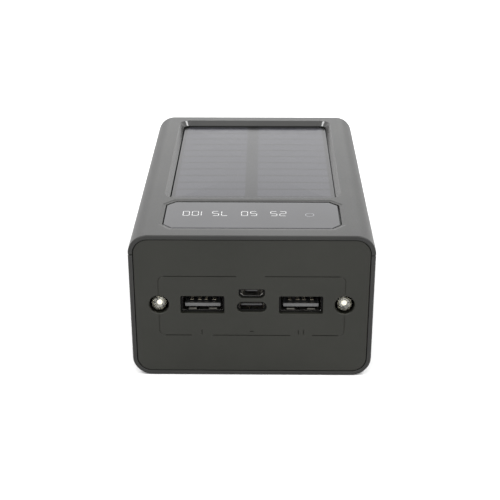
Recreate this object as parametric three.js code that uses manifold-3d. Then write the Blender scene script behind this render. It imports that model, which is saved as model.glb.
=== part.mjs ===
// Solar phone charger: a two-part plastic case that holds four flat cells, a charging board with
// its sockets, a battery gauge behind a window, two torch lights and a solar panel in the top.
// Millimetres. X is the width, Y the length with the sockets at the -Y end, Z is up, and the
// origin is the middle of the underside.

import * as THREE from 'three';
import { mergeVertices } from 'three/addons/utils/BufferGeometryUtils.js';
import Module from 'manifold-3d';

const wasm = await Module();
wasm.setup();

// Case
const caseWidth = 76;
const caseLength = 115;
const caseHeight = 49;
const caseCorner = 6.2;
const caseWall = 2;
const coverDepth = 6.6; // from the top face down to the seam
const seamGap = 0.1;
const lipThickness = 0.8;
const lipHeight = 1.2;
const fitGap = 0.15; // between moulded pieces that slot together
const glueGap = 0.05; // between pieces that lie flat on each other

// End panels: a plate in the mouth of the case, with a flange that sits in a groove
const rimWall = 1.4;
const rimDepth = 1.6;
const grooveWall = 0.9;
const grooveDepth = 1.4;
const panelRecess = 0.2;
const panelCorner = 4.7;

// Snap hooks that hold the cover
const hookSpread = 60;
const hookWidth = 6;
const hookThickness = 1.15;
const hookReach = 4.9; // below the seam
const hookGap = 0.25; // between the hook's beam and the wall
const barbDepth = 0.7;
const barbHeight = 1.5;
const barbLift = 0.3; // above the hook's end
const barbPocketDepth = 0.9;

// Solar panel and its recess
const recessSideMargin = 8.9;
const recessFrontMargin = 30.6;
const recessBackMargin = 5.5;
const recessBevel = 1.6;
const recessBevelDepth = 1.4;
const recessCorner = 3.8;
const panelSurfaceDepth = 1.9; // below the top face
const panelSideGap = 0.2;
const panelBackGap = 1.1;
const filmThickness = 0.45;
const cellLayer = 0.2;
const solarBoardThickness = 0.8;
const adhesiveThickness = 0.15;
const trayThickness = 1.3;
const trayMargin = 1.4;
const trayRoot = 1; // how far the trays reach into the top wall
const laminateBorder = 1.4;
const columnGap = 4.2;
const columnGapShift = -0.6;

// Gauge window, light mask and gauge board
const windowSideMargin = 10.5;
const windowFrontMargin = 6.4;
const windowLength = 20.7;
const windowThickness = 1;
const windowDepth = 0.15; // below the top face
const windowChamfer = 2.7;
const windowBand = 1.2;
const windowBandDepth = 0.15;
const windowGap = 0.35;
const windowLedge = 3.5;
const ledgeThickness = 1.5;
const gaugeCount = 5;
const gaugeShift = -0.4;
const gaugeEndWall = 0.7;
const wellLength = 7.6;
const wellWall = 1.85;
const gaugeBoardThickness = 1;
const gaugeBoardDepth = 4.8; // top of the gauge board below the top face
const gaugeBoardMargin = [0.7, 0.3]; // inside the window, at the sides and the ends
const gaugeLedSize = [1.6, 0.8, 0.6];
const stakeInset = 2.7;
const stakeRadius = 1.2;
const stakePinRadius = 0.6;
const stakePinReach = 0.6;

// Socket and torch positions on the front panel
const socketLevel = 0.7; // centre of the large sockets above mid-height
const torchSideMargin = 9;
const smallSocketDrop = 0.7; // reversible socket below the large sockets' centre
const microRise = 3.9; // older small socket above the large sockets' centre

// Large sockets
const largeCut = [13.7, 6.1];
const largeShell = [13.2, 5.7, 13];
const shellWall = 0.35;
const largeTongue = [11.4, 1.25];
const tongueDrop = 1.1; // centre of the tongue below the socket's centre
const tongueSetback = 0.9;
const tongueBlock = 3.4;
const contactOffsets = [-3.5, -1, 1, 3.5];
const contactSize = [1, 6.8, 0.15];
const contactNose = [0.8, 1.3, 3]; // where its raised part starts, tops out and ends
const contactRise = 0.6;
const largeSetback = 1.6; // behind the face of the front panel

// Small sockets
const smallSetback = 1.1;
const reversibleCut = [9.3, 3.6];
const reversibleShell = [8.94, 3.2, 6.8];
const reversibleTongue = [6.7, 0.7];
const microCut = [8.1, 3.1];
const microShell = [7.5, 2.5, 5.1];
const microTongue = [3.7, 0.6];
const microTaper = 0.9; // how much each lower corner comes in

// Torch lights
const torchRadius = 2.7;
const torchLength = 8.7;
const torchFlange = [0.3, 1]; // how far it stands out, and its thickness
const torchRing = 0.5; // width and depth of the chamfer round the hole
const torchTip = 0.15; // behind the front edge of the case
const torchLeadPitch = 2.54;
const torchLeadSize = 0.5;
const torchLeadRun = 2.4;

// Engraved frame round the sockets
const engraveWidth = 0.4;
const engraveDepth = 0.25;
const engraveTop = 9.95; // above the sockets' centre
const engraveBottom = -10.75;
const engraveTopBreak = [-4.8, 4.1];
const engraveBottomBreaks = [[-19, -12.3], [12.2, 19]];

// Charging board
const boardThickness = 1.4;
const boardSideMargin = 5;
const boardFrontGap = 1;
const boardBackGap = 1.7;
const boardNotchGap = 0.2;
const torchBoardGap = 0.6;
const postRadius = 2.2;
const outerPostMargin = [7, 14]; // from the side and from the front edge
const innerPostShift = [3.4, 3]; // inwards of the large socket, and from the board's back edge
const screwRadius = 0.85;
const screwHoleRadius = 0.95;
const screwHead = [1.9, 1.2];
const screwLength = 5;
const boardHoleRadius = 1.1;
const inductorSize = [7, 7, 4];
const inductorPlace = [7.1, 4.7]; // outwards of the large socket, and from the board's back edge
const controllerSize = [5, 5, 0.9];
const controllerFromFront = 12;

// Power button and its switch
const buttonFace = [11, 4.6];
const buttonFlange = [13, 6.4, 0.8];
const buttonStem = [3, 2];
const buttonSink = 0.1; // face below the side of the case
const buttonDish = [15, 8.6, 0.6];
const buttonFromBoardBack = 3;
const switchSize = [4, 6, 2.75];
const plungerSize = [2.4, 2.4, 1.3];
const plungerPocket = 1.2;
const plungerGap = 0.1;
const switchFromSide = 5.6;
const plungerFromSide = 4;

// Cells
const bayLength = 30; // from the front face to the cells
const cellCount = 4;
const cellSideGap = 3;
const cellGap = 0.1;
const cellCorner = 1.2;
const cellBackGap = 1;
const cellTopGap = 1.5;
const cellFloorGap = 0.35;
const tabSize = [6, 4, 0.3];
const tabFromSide = 18;
const stripThickness = 0.3;
const stripOverlap = 1.5;
const ribThickness = 1.5;
const ribRow = 30;
const ribTopGap = 1; // below the hooks
const stopGap = 0.3;
const stopInset = 3;
const stopHeight = 2;

// Wires
const batteryLeadRadius = 0.7;
const solarLeadRadius = 0.45;
const leadSides = 8;
const solderGap = 0.1;
const solarLeadFromStrip = 5.5;
const solarLeadSpacing = 2.2;
const leadSlotPlace = 2; // behind the front of the recess
const leadSlotLength = 2.8;
const leadSlotMargin = 1.2;
const cableWidth = 8;
const cableThickness = 0.3;

// Levels and faces that several pieces share
const frontEdge = -caseLength / 2;
const rearEdge = caseLength / 2;
const cavityFront = frontEdge + rimDepth + grooveDepth;
const cavityRear = rearEdge - rimDepth - grooveDepth;
const panelFace = frontEdge + panelRecess;
const sideFace = caseWidth / 2;
const innerSide = sideFace - caseWall;
const seamLevel = caseHeight - coverDepth;
const barbBottom = seamLevel - hookReach + barbLift;
const barbTop = barbBottom + barbHeight;
const socketCentre = caseHeight / 2 + socketLevel;
const torchOffset = sideFace - torchSideMargin;
const torchHoleRadius = torchRadius + fitGap;
const largeOffset = (reversibleCut[0] / 2 + torchOffset - torchHoleRadius) / 2;
const reversibleCentre = socketCentre - smallSocketDrop;
const microCentre = socketCentre + microRise;
const boardBottom = reversibleCentre + reversibleShell[1] / 2 + solderGap;
const boardTop = boardBottom + boardThickness;
const boardFront = cavityFront + boardFrontGap;
const boardBack = frontEdge + bayLength - tabSize[1] - stripThickness - boardBackGap;
const cellFront = frontEdge + bayLength;
const cellBack = cavityRear - cellBackGap;
const cellHalfWidth = innerSide - cellSideGap;
const stripOffset = cellHalfWidth - tabFromSide;
const stripFront = cellFront - tabSize[1] - glueGap - stripThickness;
const panelSurface = caseHeight - panelSurfaceDepth;
const filmBottom = panelSurface - filmThickness;
const cellLayerBottom = filmBottom - glueGap - cellLayer;
const solarBoardBottom = cellLayerBottom - glueGap - solarBoardThickness;
const trayFloor = solarBoardBottom - glueGap * 2 - adhesiveThickness;
const trayUnderside = trayFloor - trayThickness;
const recess = {
  halfWidth: sideFace - recessSideMargin,
  front: frontEdge + recessFrontMargin,
  back: rearEdge - recessBackMargin,
};
const windowArea = {
  halfWidth: sideFace - windowSideMargin,
  front: frontEdge + windowFrontMargin,
  back: frontEdge + windowFrontMargin + windowLength,
};
const windowMiddle = (windowArea.front + windowArea.back) / 2;
const windowTop = caseHeight - windowDepth;
const ledgeTop = windowTop - windowThickness - glueGap;
const ledgeBottom = ledgeTop - ledgeThickness;
const gaugeBoardTop = caseHeight - gaugeBoardDepth;
const maskHalfWidth = windowArea.halfWidth - windowLedge - fitGap;
const gaugePitch = (2 * maskHalfWidth - 2 * gaugeEndWall) / gaugeCount;
const buttonY = boardBack - buttonFromBoardBack;
const buttonLevel = boardBottom - glueGap - switchSize[2] / 2;
const outerPost = { x: sideFace - outerPostMargin[0], y: frontEdge + outerPostMargin[1] };
const innerPost = { x: largeOffset - innerPostShift[0], y: boardBack - innerPostShift[1] };
const postPlaces = [
  [-outerPost.x, outerPost.y],
  [outerPost.x, outerPost.y],
  [-innerPost.x, innerPost.y],
  [innerPost.x, innerPost.y],
];
const solarLeadX = -(stripOffset + solarLeadFromStrip);
const leadHole = {
  front: recess.front + leadSlotPlace,
  back: recess.front + leadSlotPlace + leadSlotLength,
};

// ---- outlines ----

function roundedRect(width, height, radius) {
  const x = width / 2 - radius;
  const y = height / 2 - radius;
  const shape = new THREE.Shape();
  shape.absarc(x, -y, radius, -Math.PI / 2, 0);
  shape.absarc(x, y, radius, 0, Math.PI / 2);
  shape.absarc(-x, y, radius, Math.PI / 2, Math.PI);
  shape.absarc(-x, -y, radius, Math.PI, Math.PI * 1.5);
  return shape;
}

function stadium(width, height) {
  return roundedRect(width, height, height / 2 - 0.001);
}

function circle(radius) {
  const shape = new THREE.Shape();
  shape.absarc(0, 0, radius, 0, Math.PI * 2);
  return shape;
}

function polygon(points) {
  return new THREE.Shape(points.map(([x, y]) => new THREE.Vector2(x, y)));
}

function chamferedRect(width, height, chamfer) {
  const x = width / 2;
  const y = height / 2;
  return polygon([
    [-x + chamfer, -y], [x - chamfer, -y], [x, -y + chamfer], [x, y - chamfer],
    [x - chamfer, y], [-x + chamfer, y], [-x, y - chamfer], [-x, -y + chamfer],
  ]);
}

// Wide side up, with the lower corners cut off at a slant.
function taperedSlot(width, height, taper) {
  const x = width / 2;
  const y = height / 2;
  return polygon([[-x + taper, -y], [x - taper, -y], [x, -y + taper], [x, y], [-x, y], [-x, -y + taper]]);
}

// ---- solids ----

// A closed geometry as a solid that can be cut and joined.
function solid(geometry) {
  const bare = geometry.clone();
  bare.deleteAttribute('normal');
  bare.deleteAttribute('uv');
  const merged = mergeVertices(bare, 1e-4);
  const corners = Array.from(merged.index.array);
  const kept = [];
  for (let i = 0; i < corners.length; i += 3) {
    const [a, b, c] = corners.slice(i, i + 3);
    if (a !== b && b !== c && c !== a) {
      kept.push(a, b, c);
    }
  }
  return new wasm.Manifold(new wasm.Mesh({
    numProp: 3,
    vertProperties: Float32Array.from(merged.attributes.position.array),
    triVerts: Uint32Array.from(kept),
  }));
}

function geometryOf(body) {
  const mesh = body.getMesh();
  const geometry = new THREE.BufferGeometry();
  geometry.setAttribute('position', new THREE.BufferAttribute(mesh.vertProperties.slice(), 3));
  geometry.setIndex(new THREE.BufferAttribute(mesh.triVerts.slice(), 1));
  geometry.computeVertexNormals();
  return geometry;
}

function join(first, ...others) {
  return others.reduce((body, other) => body.add(other), first);
}

function cut(first, ...others) {
  return others.reduce((body, other) => body.subtract(other), first);
}

function extruded(shape, depth, steps) {
  return new THREE.ExtrudeGeometry(shape, { depth, bevelEnabled: false, curveSegments: steps });
}

// The outline lies in X and Y, and the solid runs from one level to another.
function upright(shape, low, high, steps = 5) {
  return solid(extruded(shape, high - low, steps).translate(0, 0, low));
}

// The outline lies in X and Z, and the solid runs along Y.
function alongY(shape, front, back, steps = 5) {
  return solid(extruded(shape, back - front, steps).rotateX(Math.PI / 2).translate(0, back, 0));
}

// The outline lies in Y and Z, and the solid runs along X.
function alongX(shape, left, right, steps = 5) {
  const geometry = extruded(shape, right - left, steps).rotateX(Math.PI / 2).rotateZ(Math.PI / 2);
  return solid(geometry.translate(left, 0, 0));
}

function block(low, high) {
  const size = high.map((value, axis) => value - low[axis]);
  const middle = high.map((value, axis) => (value + low[axis]) / 2);
  return solid(new THREE.BoxGeometry(...size).translate(...middle));
}

// A straight-sided pit that widens upwards: the upper outline is the lower one stretched.
function flaredPit(shape, low, high, stretch) {
  const geometry = extruded(shape, high - low, 5);
  const position = geometry.attributes.position;
  for (let i = 0; i < position.count; i += 1) {
    if (position.getZ(i) > (high - low) / 2) {
      position.setX(i, position.getX(i) * stretch[0]);
      position.setY(i, position.getY(i) * stretch[1]);
    }
  }
  return solid(geometry.translate(0, 0, low));
}

// A round profile of [radius, height] points, turned about Z.
function turned(profile, sides) {
  return solid(new THREE.LatheGeometry(profile.map(([r, z]) => new THREE.Vector2(r, z)), sides)
    .rotateX(Math.PI / 2));
}

function wire(points, radius) {
  const path = new THREE.CatmullRomCurve3(points.map((point) => new THREE.Vector3(...point)));
  const section = new THREE.Shape();
  section.absarc(0, 0, radius, 0, Math.PI * 2);
  return solid(new THREE.ExtrudeGeometry(section, {
    steps: 14,
    extrudePath: path,
    curveSegments: leadSides,
    bevelEnabled: false,
  }));
}

// ---- the assembly ----

const charger = new THREE.Group();

function addPart(name, body, place, color, roughness, metalness) {
  const material = new THREE.MeshStandardMaterial({ color, roughness, metalness });
  const mesh = new THREE.Mesh(geometryOf(body), material);
  mesh.name = name;
  mesh.position.set(...place);
  charger.add(mesh);
}

const home = [0, 0, 0];
const shellPlastic = [0x242423, 0.45, 0];
const glossPlastic = [0x111114, 0.12, 0];
const boardGreen = [0x1d4a2e, 0.55, 0];
const bareSteel = [0xb8babd, 0.3, 1];
const palePlastic = [0xb9bcc0, 0.5, 0];
const gold = [0xc8a24a, 0.3, 1];

// ---- case ----

function caseSection(inset) {
  return roundedRect(caseWidth - 2 * inset, caseHeight - 2 * inset, caseCorner - inset);
}

function caseRun(inset, front, back) {
  return alongY(caseSection(inset), front, back, 6).translate([0, 0, caseHeight / 2]);
}

// The whole tube of the case, before it is split at the seam.
function wholeCase() {
  const outside = caseRun(0, frontEdge, rearEdge);
  const cavity = caseRun(caseWall, frontEdge - 1, rearEdge + 1);
  const frontMouth = caseRun(rimWall, frontEdge - 1, frontEdge + rimDepth);
  const rearMouth = caseRun(rimWall, rearEdge - rimDepth, rearEdge + 1);
  const frontGroove = caseRun(grooveWall, frontEdge + rimDepth, cavityFront);
  const rearGroove = caseRun(grooveWall, cavityRear, rearEdge - rimDepth);
  return cut(outside, cavity, frontMouth, rearMouth, frontGroove, rearGroove);
}

function hookPlaces() {
  return [[-1, -1], [-1, 1], [1, -1], [1, 1]].map(([side, end]) => [side, (end * hookSpread) / 2]);
}

// A block that is mirrored to either side of the case.
function sideBlock(side, low, high) {
  const inner = Math.min(side * low[0], side * high[0]);
  const outer = Math.max(side * low[0], side * high[0]);
  return block([inner, low[1], low[2]], [outer, high[1], high[2]]);
}

function lowerCase(tube) {
  const above = seamLevel - seamGap / 2;
  let body = cut(tube, block([-caseWidth, frontEdge - 1, above], [caseWidth, rearEdge + 1, caseHeight + 1]));
  for (const side of [-1, 1]) {
    const lipEnd = cavityRear - fitGap * 2;
    const lip = sideBlock(
      side,
      [innerSide, -lipEnd, seamLevel - 2],
      [innerSide + lipThickness, lipEnd, seamLevel + lipHeight],
    );
    body = join(body, lip);
    for (let y = cellFront + ribRow / 2; y < cellBack; y += ribRow) {
      const rib = sideBlock(
        side,
        [cellHalfWidth + fitGap, y, caseCorner],
        [innerSide + caseWall / 2, y + ribThickness, seamLevel - hookReach - ribTopGap],
      );
      body = join(body, rib);
    }
  }
  const stop = block(
    [-cellHalfWidth + stopInset, cellFront - stopGap - ribThickness, caseWall / 2],
    [cellHalfWidth - stopInset, cellFront - stopGap, caseWall + stopHeight],
  );
  body = join(body, stop);
  for (const [x, y] of postPlaces) {
    const post = upright(circle(postRadius), caseWall / 2, boardBottom - glueGap, 12);
    const hole = upright(circle(screwHoleRadius), boardBottom - screwLength - 1, boardBottom + 1, 8);
    body = join(body, cut(post, hole).translate([x, y, 0]));
  }
  for (const [side, y] of hookPlaces()) {
    const pocket = sideBlock(
      side,
      [innerSide - 1, y - hookWidth / 2 - fitGap, barbBottom - fitGap],
      [innerSide + barbPocketDepth, y + hookWidth / 2 + fitGap, barbTop + fitGap],
    );
    body = cut(body, pocket);
  }
  const dish = alongX(stadium(buttonDish[0], buttonDish[1]), sideFace - buttonDish[2], sideFace + 1, 8);
  const opening = alongX(
    stadium(buttonFace[0] + 2 * fitGap, buttonFace[1] + 2 * fitGap),
    innerSide - 1,
    sideFace + 1,
    8,
  );
  return cut(body, join(dish, opening).translate([0, buttonY, buttonLevel]));
}

// The recess for the solar panel: a sloping lip, then an upright pocket down to the tray.
function solarRecess() {
  const width = 2 * (recess.halfWidth - recessBevel);
  const length = recess.back - recess.front - 2 * recessBevel;
  const middle = (recess.front + recess.back) / 2;
  const outline = roundedRect(width, length, recessCorner - recessBevel / 2);
  const lipBottom = caseHeight - recessBevelDepth;
  const excess = 1 / recessBevelDepth; // the cutter stands 1 mm proud of the top
  const stretch = [
    1 + (2 * recessBevel * (1 + excess)) / width,
    1 + (2 * recessBevel * (1 + excess)) / length,
  ];
  const pocket = upright(outline, trayFloor, lipBottom + 0.1);
  const lip = flaredPit(outline, lipBottom, caseHeight + 1, stretch);
  return join(pocket, lip).translate([0, middle, 0]);
}

// The seat of the gauge window: a shallow band, a pocket for the pane and an opening below it.
function windowSeat() {
  const width = 2 * (windowArea.halfWidth + windowGap);
  const length = windowLength + 2 * windowGap;
  const outline = chamferedRect(width, length, windowChamfer);
  const bandBottom = caseHeight - windowBandDepth;
  const rise = 1 + 1 / windowBandDepth;
  const stretch = [1 + (2 * windowBand * rise) / width, 1 + (2 * windowBand * rise) / length];
  const pocket = upright(outline, ledgeTop, bandBottom + 0.05);
  const band = flaredPit(outline, bandBottom, caseHeight + 1, stretch);
  const opening = block(
    [-windowArea.halfWidth + windowLedge, -windowLength / 2 + windowLedge, gaugeBoardTop],
    [windowArea.halfWidth - windowLedge, windowLength / 2 - windowLedge, ledgeTop + 0.5],
  );
  return join(pocket, band, opening).translate([0, windowMiddle, 0]);
}

function stakePlaces() {
  const x = windowArea.halfWidth - stakeInset;
  const y = windowLength / 2 - windowLedge / 2;
  return [[-x, -y], [x, -y], [-x, y], [x, y]];
}

function topCover(tube) {
  const below = seamLevel + seamGap / 2;
  let body = cut(tube, block([-caseWidth, frontEdge - 1, -1], [caseWidth, rearEdge + 1, below]));
  for (const side of [-1, 1]) {
    const rebateEnd = cavityRear - fitGap;
    const rebate = sideBlock(
      side,
      [innerSide - 0.2, -rebateEnd, seamLevel - 1],
      [innerSide + lipThickness + fitGap, rebateEnd, seamLevel + lipHeight + fitGap],
    );
    body = cut(body, rebate);
  }
  const trayFront = windowArea.back + (recess.front - windowArea.back) / 2;
  const solarTray = block(
    [-recess.halfWidth - trayMargin, trayFront, trayUnderside],
    [recess.halfWidth + trayMargin, recess.back + trayMargin, caseHeight - trayRoot],
  );
  const windowTray = block(
    [-recess.halfWidth - trayMargin, windowArea.front - trayMargin, ledgeBottom],
    [recess.halfWidth + trayMargin, trayFront + 0.1, caseHeight - trayRoot],
  );
  body = join(body, solarTray, windowTray);
  for (const [side, y] of hookPlaces()) {
    const outer = innerSide - hookGap;
    const beam = sideBlock(
      side,
      [outer - hookThickness, y - hookWidth / 2, seamLevel - hookReach],
      [outer, y + hookWidth / 2, caseHeight - caseWall - fitGap],
    );
    const barb = sideBlock(
      side,
      [outer - hookThickness / 2, y - hookWidth / 2, barbBottom],
      [innerSide + barbDepth, y + hookWidth / 2, barbTop],
    );
    body = join(body, beam, barb);
  }
  const leadSlot = block(
    [solarLeadX - solarLeadSpacing - leadSlotMargin, leadHole.front, trayUnderside - 1],
    [solarLeadX + leadSlotMargin, leadHole.back, trayFloor + 0.5],
  );
  body = cut(body, solarRecess(), windowSeat(), leadSlot);
  for (const [x, y] of stakePlaces()) {
    const stand = upright(circle(stakeRadius), gaugeBoardTop + glueGap, ledgeBottom + 0.5, 8);
    const pin = upright(
      circle(stakePinRadius),
      gaugeBoardTop - gaugeBoardThickness - stakePinReach,
      ledgeBottom + 0.5,
      6,
    );
    body = join(body, join(stand, pin).translate([x, windowMiddle + y, 0]));
  }
  return body;
}

// ---- end panels ----

function endPlate(face, direction) {
  const step = direction * (rimDepth - panelRecess + fitGap);
  const inside = direction * (rimDepth + grooveDepth - panelRecess - fitGap);
  const plateInset = rimWall + fitGap;
  const flangeInset = grooveWall + fitGap;
  const plateShape = roundedRect(caseWidth - 2 * plateInset, caseHeight - 2 * plateInset, panelCorner);
  const plate = alongY(plateShape, Math.min(face, face + inside), Math.max(face, face + inside), 6);
  const flange = alongY(
    caseSection(flangeInset),
    Math.min(face + step, face + inside),
    Math.max(face + step, face + inside),
    6,
  );
  return join(plate, flange).translate([0, 0, caseHeight / 2]);
}

function engraving() {
  const back = panelFace + engraveDepth;
  const line = (x0, x1, z0, z1) => block([x0, frontEdge, socketCentre + z0], [x1, back, socketCentre + z1]);
  const half = engraveWidth / 2;
  const [leftBreak, rightBreak] = engraveBottomBreaks;
  return join(
    line(-torchOffset - half, -torchOffset + half, engraveBottom - half, engraveTop + half),
    line(torchOffset - half, torchOffset + half, engraveBottom - half, engraveTop + half),
    line(-torchOffset, engraveTopBreak[0], engraveTop - half, engraveTop + half),
    line(engraveTopBreak[1], torchOffset, engraveTop - half, engraveTop + half),
    line(-torchOffset, leftBreak[0], engraveBottom - half, engraveBottom + half),
    line(leftBreak[1], rightBreak[0], engraveBottom - half, engraveBottom + half),
    line(rightBreak[1], torchOffset, engraveBottom - half, engraveBottom + half),
  );
}

function frontPanel() {
  const through = [frontEdge - 1, cavityFront + 1];
  let body = cut(endPlate(panelFace, 1), engraving());
  for (const side of [-1, 1]) {
    const large = alongY(roundedRect(largeCut[0], largeCut[1], 0.5), ...through, 2);
    body = cut(body, large.translate([side * largeOffset, 0, socketCentre]));
    const hole = alongY(circle(torchHoleRadius), ...through, 16);
    const wide = torchHoleRadius + torchRing * 2;
    const cone = [[0, -torchRing], [wide, -torchRing], [torchHoleRadius, torchRing], [0, torchRing]];
    const chamfer = turned(cone, 32);
    const ring = chamfer.rotate([-90, 0, 0]).translate([0, panelFace, 0]);
    body = cut(body, join(hole, ring).translate([side * torchOffset, 0, socketCentre]));
  }
  const reversible = alongY(stadium(...reversibleCut), ...through, 6).translate([0, 0, reversibleCentre]);
  const micro = alongY(taperedSlot(...microCut, microTaper), ...through).translate([0, 0, microCentre]);
  return cut(body, reversible, micro);
}

function addCase() {
  const tube = wholeCase();
  addPart('lower_case', lowerCase(tube), home, ...shellPlastic);
  addPart('top_cover', topCover(tube), home, ...shellPlastic);
  addPart('front_panel', frontPanel(), home, ...shellPlastic);
  addPart('rear_panel', endPlate(rearEdge - panelRecess, -1), home, ...shellPlastic);
}

// ---- solar panel ----

function addSolarPanel() {
  const halfWidth = recess.halfWidth - recessBevel - panelSideGap;
  const front = recess.front + recessBevel + panelSideGap;
  const back = recess.back - recessBevel - panelBackGap;
  const middle = [0, (front + back) / 2, 0];
  const outline = roundedRect(2 * halfWidth, back - front, 3);
  const film = upright(outline, filmBottom, panelSurface);
  const board = upright(outline, solarBoardBottom, solarBoardBottom + solarBoardThickness);
  addPart('solar_film', film, middle, 0x16161c, 0.15, 0);
  addPart('solar_board', board, middle, ...boardGreen);
  const columnFront = front + laminateBorder;
  const columnBack = back - laminateBorder;
  const gapLeft = columnGapShift - columnGap / 2;
  const gapRight = columnGapShift + columnGap / 2;
  const column = (left, right) => block(
    [left, columnFront, cellLayerBottom],
    [right, columnBack, cellLayerBottom + cellLayer],
  );
  addPart('solar_cells_left', column(-halfWidth + laminateBorder, gapLeft), home, 0x15171f, 0.3, 0.2);
  addPart('solar_cells_right', column(gapRight, halfWidth - laminateBorder), home, 0x15171f, 0.3, 0.2);
  const adhesive = block(
    [-halfWidth + 2, leadHole.back + 1, trayFloor + glueGap],
    [halfWidth - 2, back - 2, trayFloor + glueGap + adhesiveThickness],
  );
  addPart('panel_adhesive', adhesive, home, 0xd9d6cc, 0.8, 0);
}

// ---- gauge ----

function gaugeX(index) {
  return gaugeShift + (index - (gaugeCount - 1) / 2) * gaugePitch;
}

function addGauge() {
  const place = [0, windowMiddle, 0];
  const pane = chamferedRect(2 * windowArea.halfWidth, windowLength, windowChamfer);
  addPart('display_window', upright(pane, windowTop - windowThickness, windowTop), place, ...glossPlastic);

  const maskHalfLength = windowLength / 2 - windowLedge - fitGap;
  let mask = block(
    [-maskHalfWidth, -maskHalfLength, gaugeBoardTop + glueGap],
    [maskHalfWidth, maskHalfLength, ledgeTop],
  );
  for (let i = 0; i < gaugeCount; i += 1) {
    const wellHalf = (gaugePitch - wellWall) / 2;
    const well = block(
      [gaugeX(i) - wellHalf, -wellLength / 2, gaugeBoardTop - 1],
      [gaugeX(i) + wellHalf, wellLength / 2, ledgeTop + 1],
    );
    mask = cut(mask, well);
  }
  addPart('light_mask', mask, place, 0xd8d8d4, 0.6, 0);

  const boardHalfWidth = windowArea.halfWidth - gaugeBoardMargin[0];
  const boardHalfLength = windowLength / 2 - gaugeBoardMargin[1];
  let board = block(
    [-boardHalfWidth, -boardHalfLength, gaugeBoardTop - gaugeBoardThickness],
    [boardHalfWidth, boardHalfLength, gaugeBoardTop],
  );
  for (const [x, y] of stakePlaces()) {
    const hole = upright(
      circle(stakePinRadius + fitGap),
      gaugeBoardTop - gaugeBoardThickness - 1,
      gaugeBoardTop + 1,
      8,
    );
    board = cut(board, hole.translate([x, y, 0]));
  }
  addPart('display_board', board, place, ...boardGreen);

  const [width, length, height] = gaugeLedSize;
  for (let i = 0; i < gaugeCount; i += 1) {
    const led = block([-width / 2, -length / 2, 0], [width / 2, length / 2, height]);
    addPart(`gauge_led_${i + 1}`, led, [gaugeX(i), windowMiddle, gaugeBoardTop + glueGap], 0xf2efd8, 0.4, 0);
  }
}

// ---- charging board ----

function boardOutline() {
  const side = sideFace - boardSideMargin;
  const notchInner = largeOffset - largeShell[0] / 2 - boardNotchGap;
  const notchOuter = largeOffset + largeShell[0] / 2 + boardNotchGap;
  const notchBack = panelFace + largeSetback + largeShell[2] + boardNotchGap;
  const torchInner = torchOffset - torchRadius - torchFlange[0] - torchBoardGap;
  const cornerX = Math.max(torchInner, notchOuter + boardNotchGap * 2);
  const torchBack = frontEdge + torchTip + torchLength + torchBoardGap / 2;
  const right = [
    [notchInner, boardFront], [notchInner, notchBack], [notchOuter, notchBack], [notchOuter, boardFront],
    [cornerX, boardFront], [cornerX, torchBack], [side, torchBack], [side, boardBack],
  ];
  const left = right.map(([x, y]) => [-x, y]).reverse();
  return polygon([...right, ...left]);
}

function addBoard() {
  let board = upright(boardOutline(), boardBottom, boardTop);
  for (const [x, y] of postPlaces) {
    const hole = upright(circle(boardHoleRadius), boardBottom - 1, boardTop + 1, 8);
    board = cut(board, hole.translate([x, y, 0]));
  }
  addPart('main_board', board, home, ...boardGreen);
  postPlaces.forEach(([x, y], index) => {
    const [headRadius, headHeight] = screwHead;
    const screw = turned([
      [0, -screwLength], [screwRadius, -screwLength], [screwRadius, glueGap],
      [headRadius, glueGap], [headRadius, headHeight], [0, headHeight],
    ], 16);
    addPart(`board_screw_${index + 1}`, screw, [x, y, boardTop], ...bareSteel);
  });
  const [width, length, height] = inductorSize;
  const inductor = upright(roundedRect(width, length, 1.4), 0, height, 4);
  const inductorX = largeOffset + inductorPlace[0];
  const inductorY = boardBack - inductorPlace[1];
  const partLevel = boardTop + glueGap;
  addPart('power_inductor', inductor, [inductorX, inductorY, partLevel], 0x3a3a3c, 0.7, 0);
  const [chipWidth, chipLength, chipHeight] = controllerSize;
  const chip = block([-chipWidth / 2, -chipLength / 2, 0], [chipWidth / 2, chipLength / 2, chipHeight]);
  addPart('controller_chip', chip, [0, frontEdge + controllerFromFront, partLevel], 0x161617, 0.5, 0);
}

// ---- sockets ----

// A metal shell closed at the back. Its own origin is the centre of its mouth.
function socketShell(outer, inner, length, steps) {
  return cut(alongY(outer, 0, length, steps), alongY(inner, -1, length - shellWall, steps));
}

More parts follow.
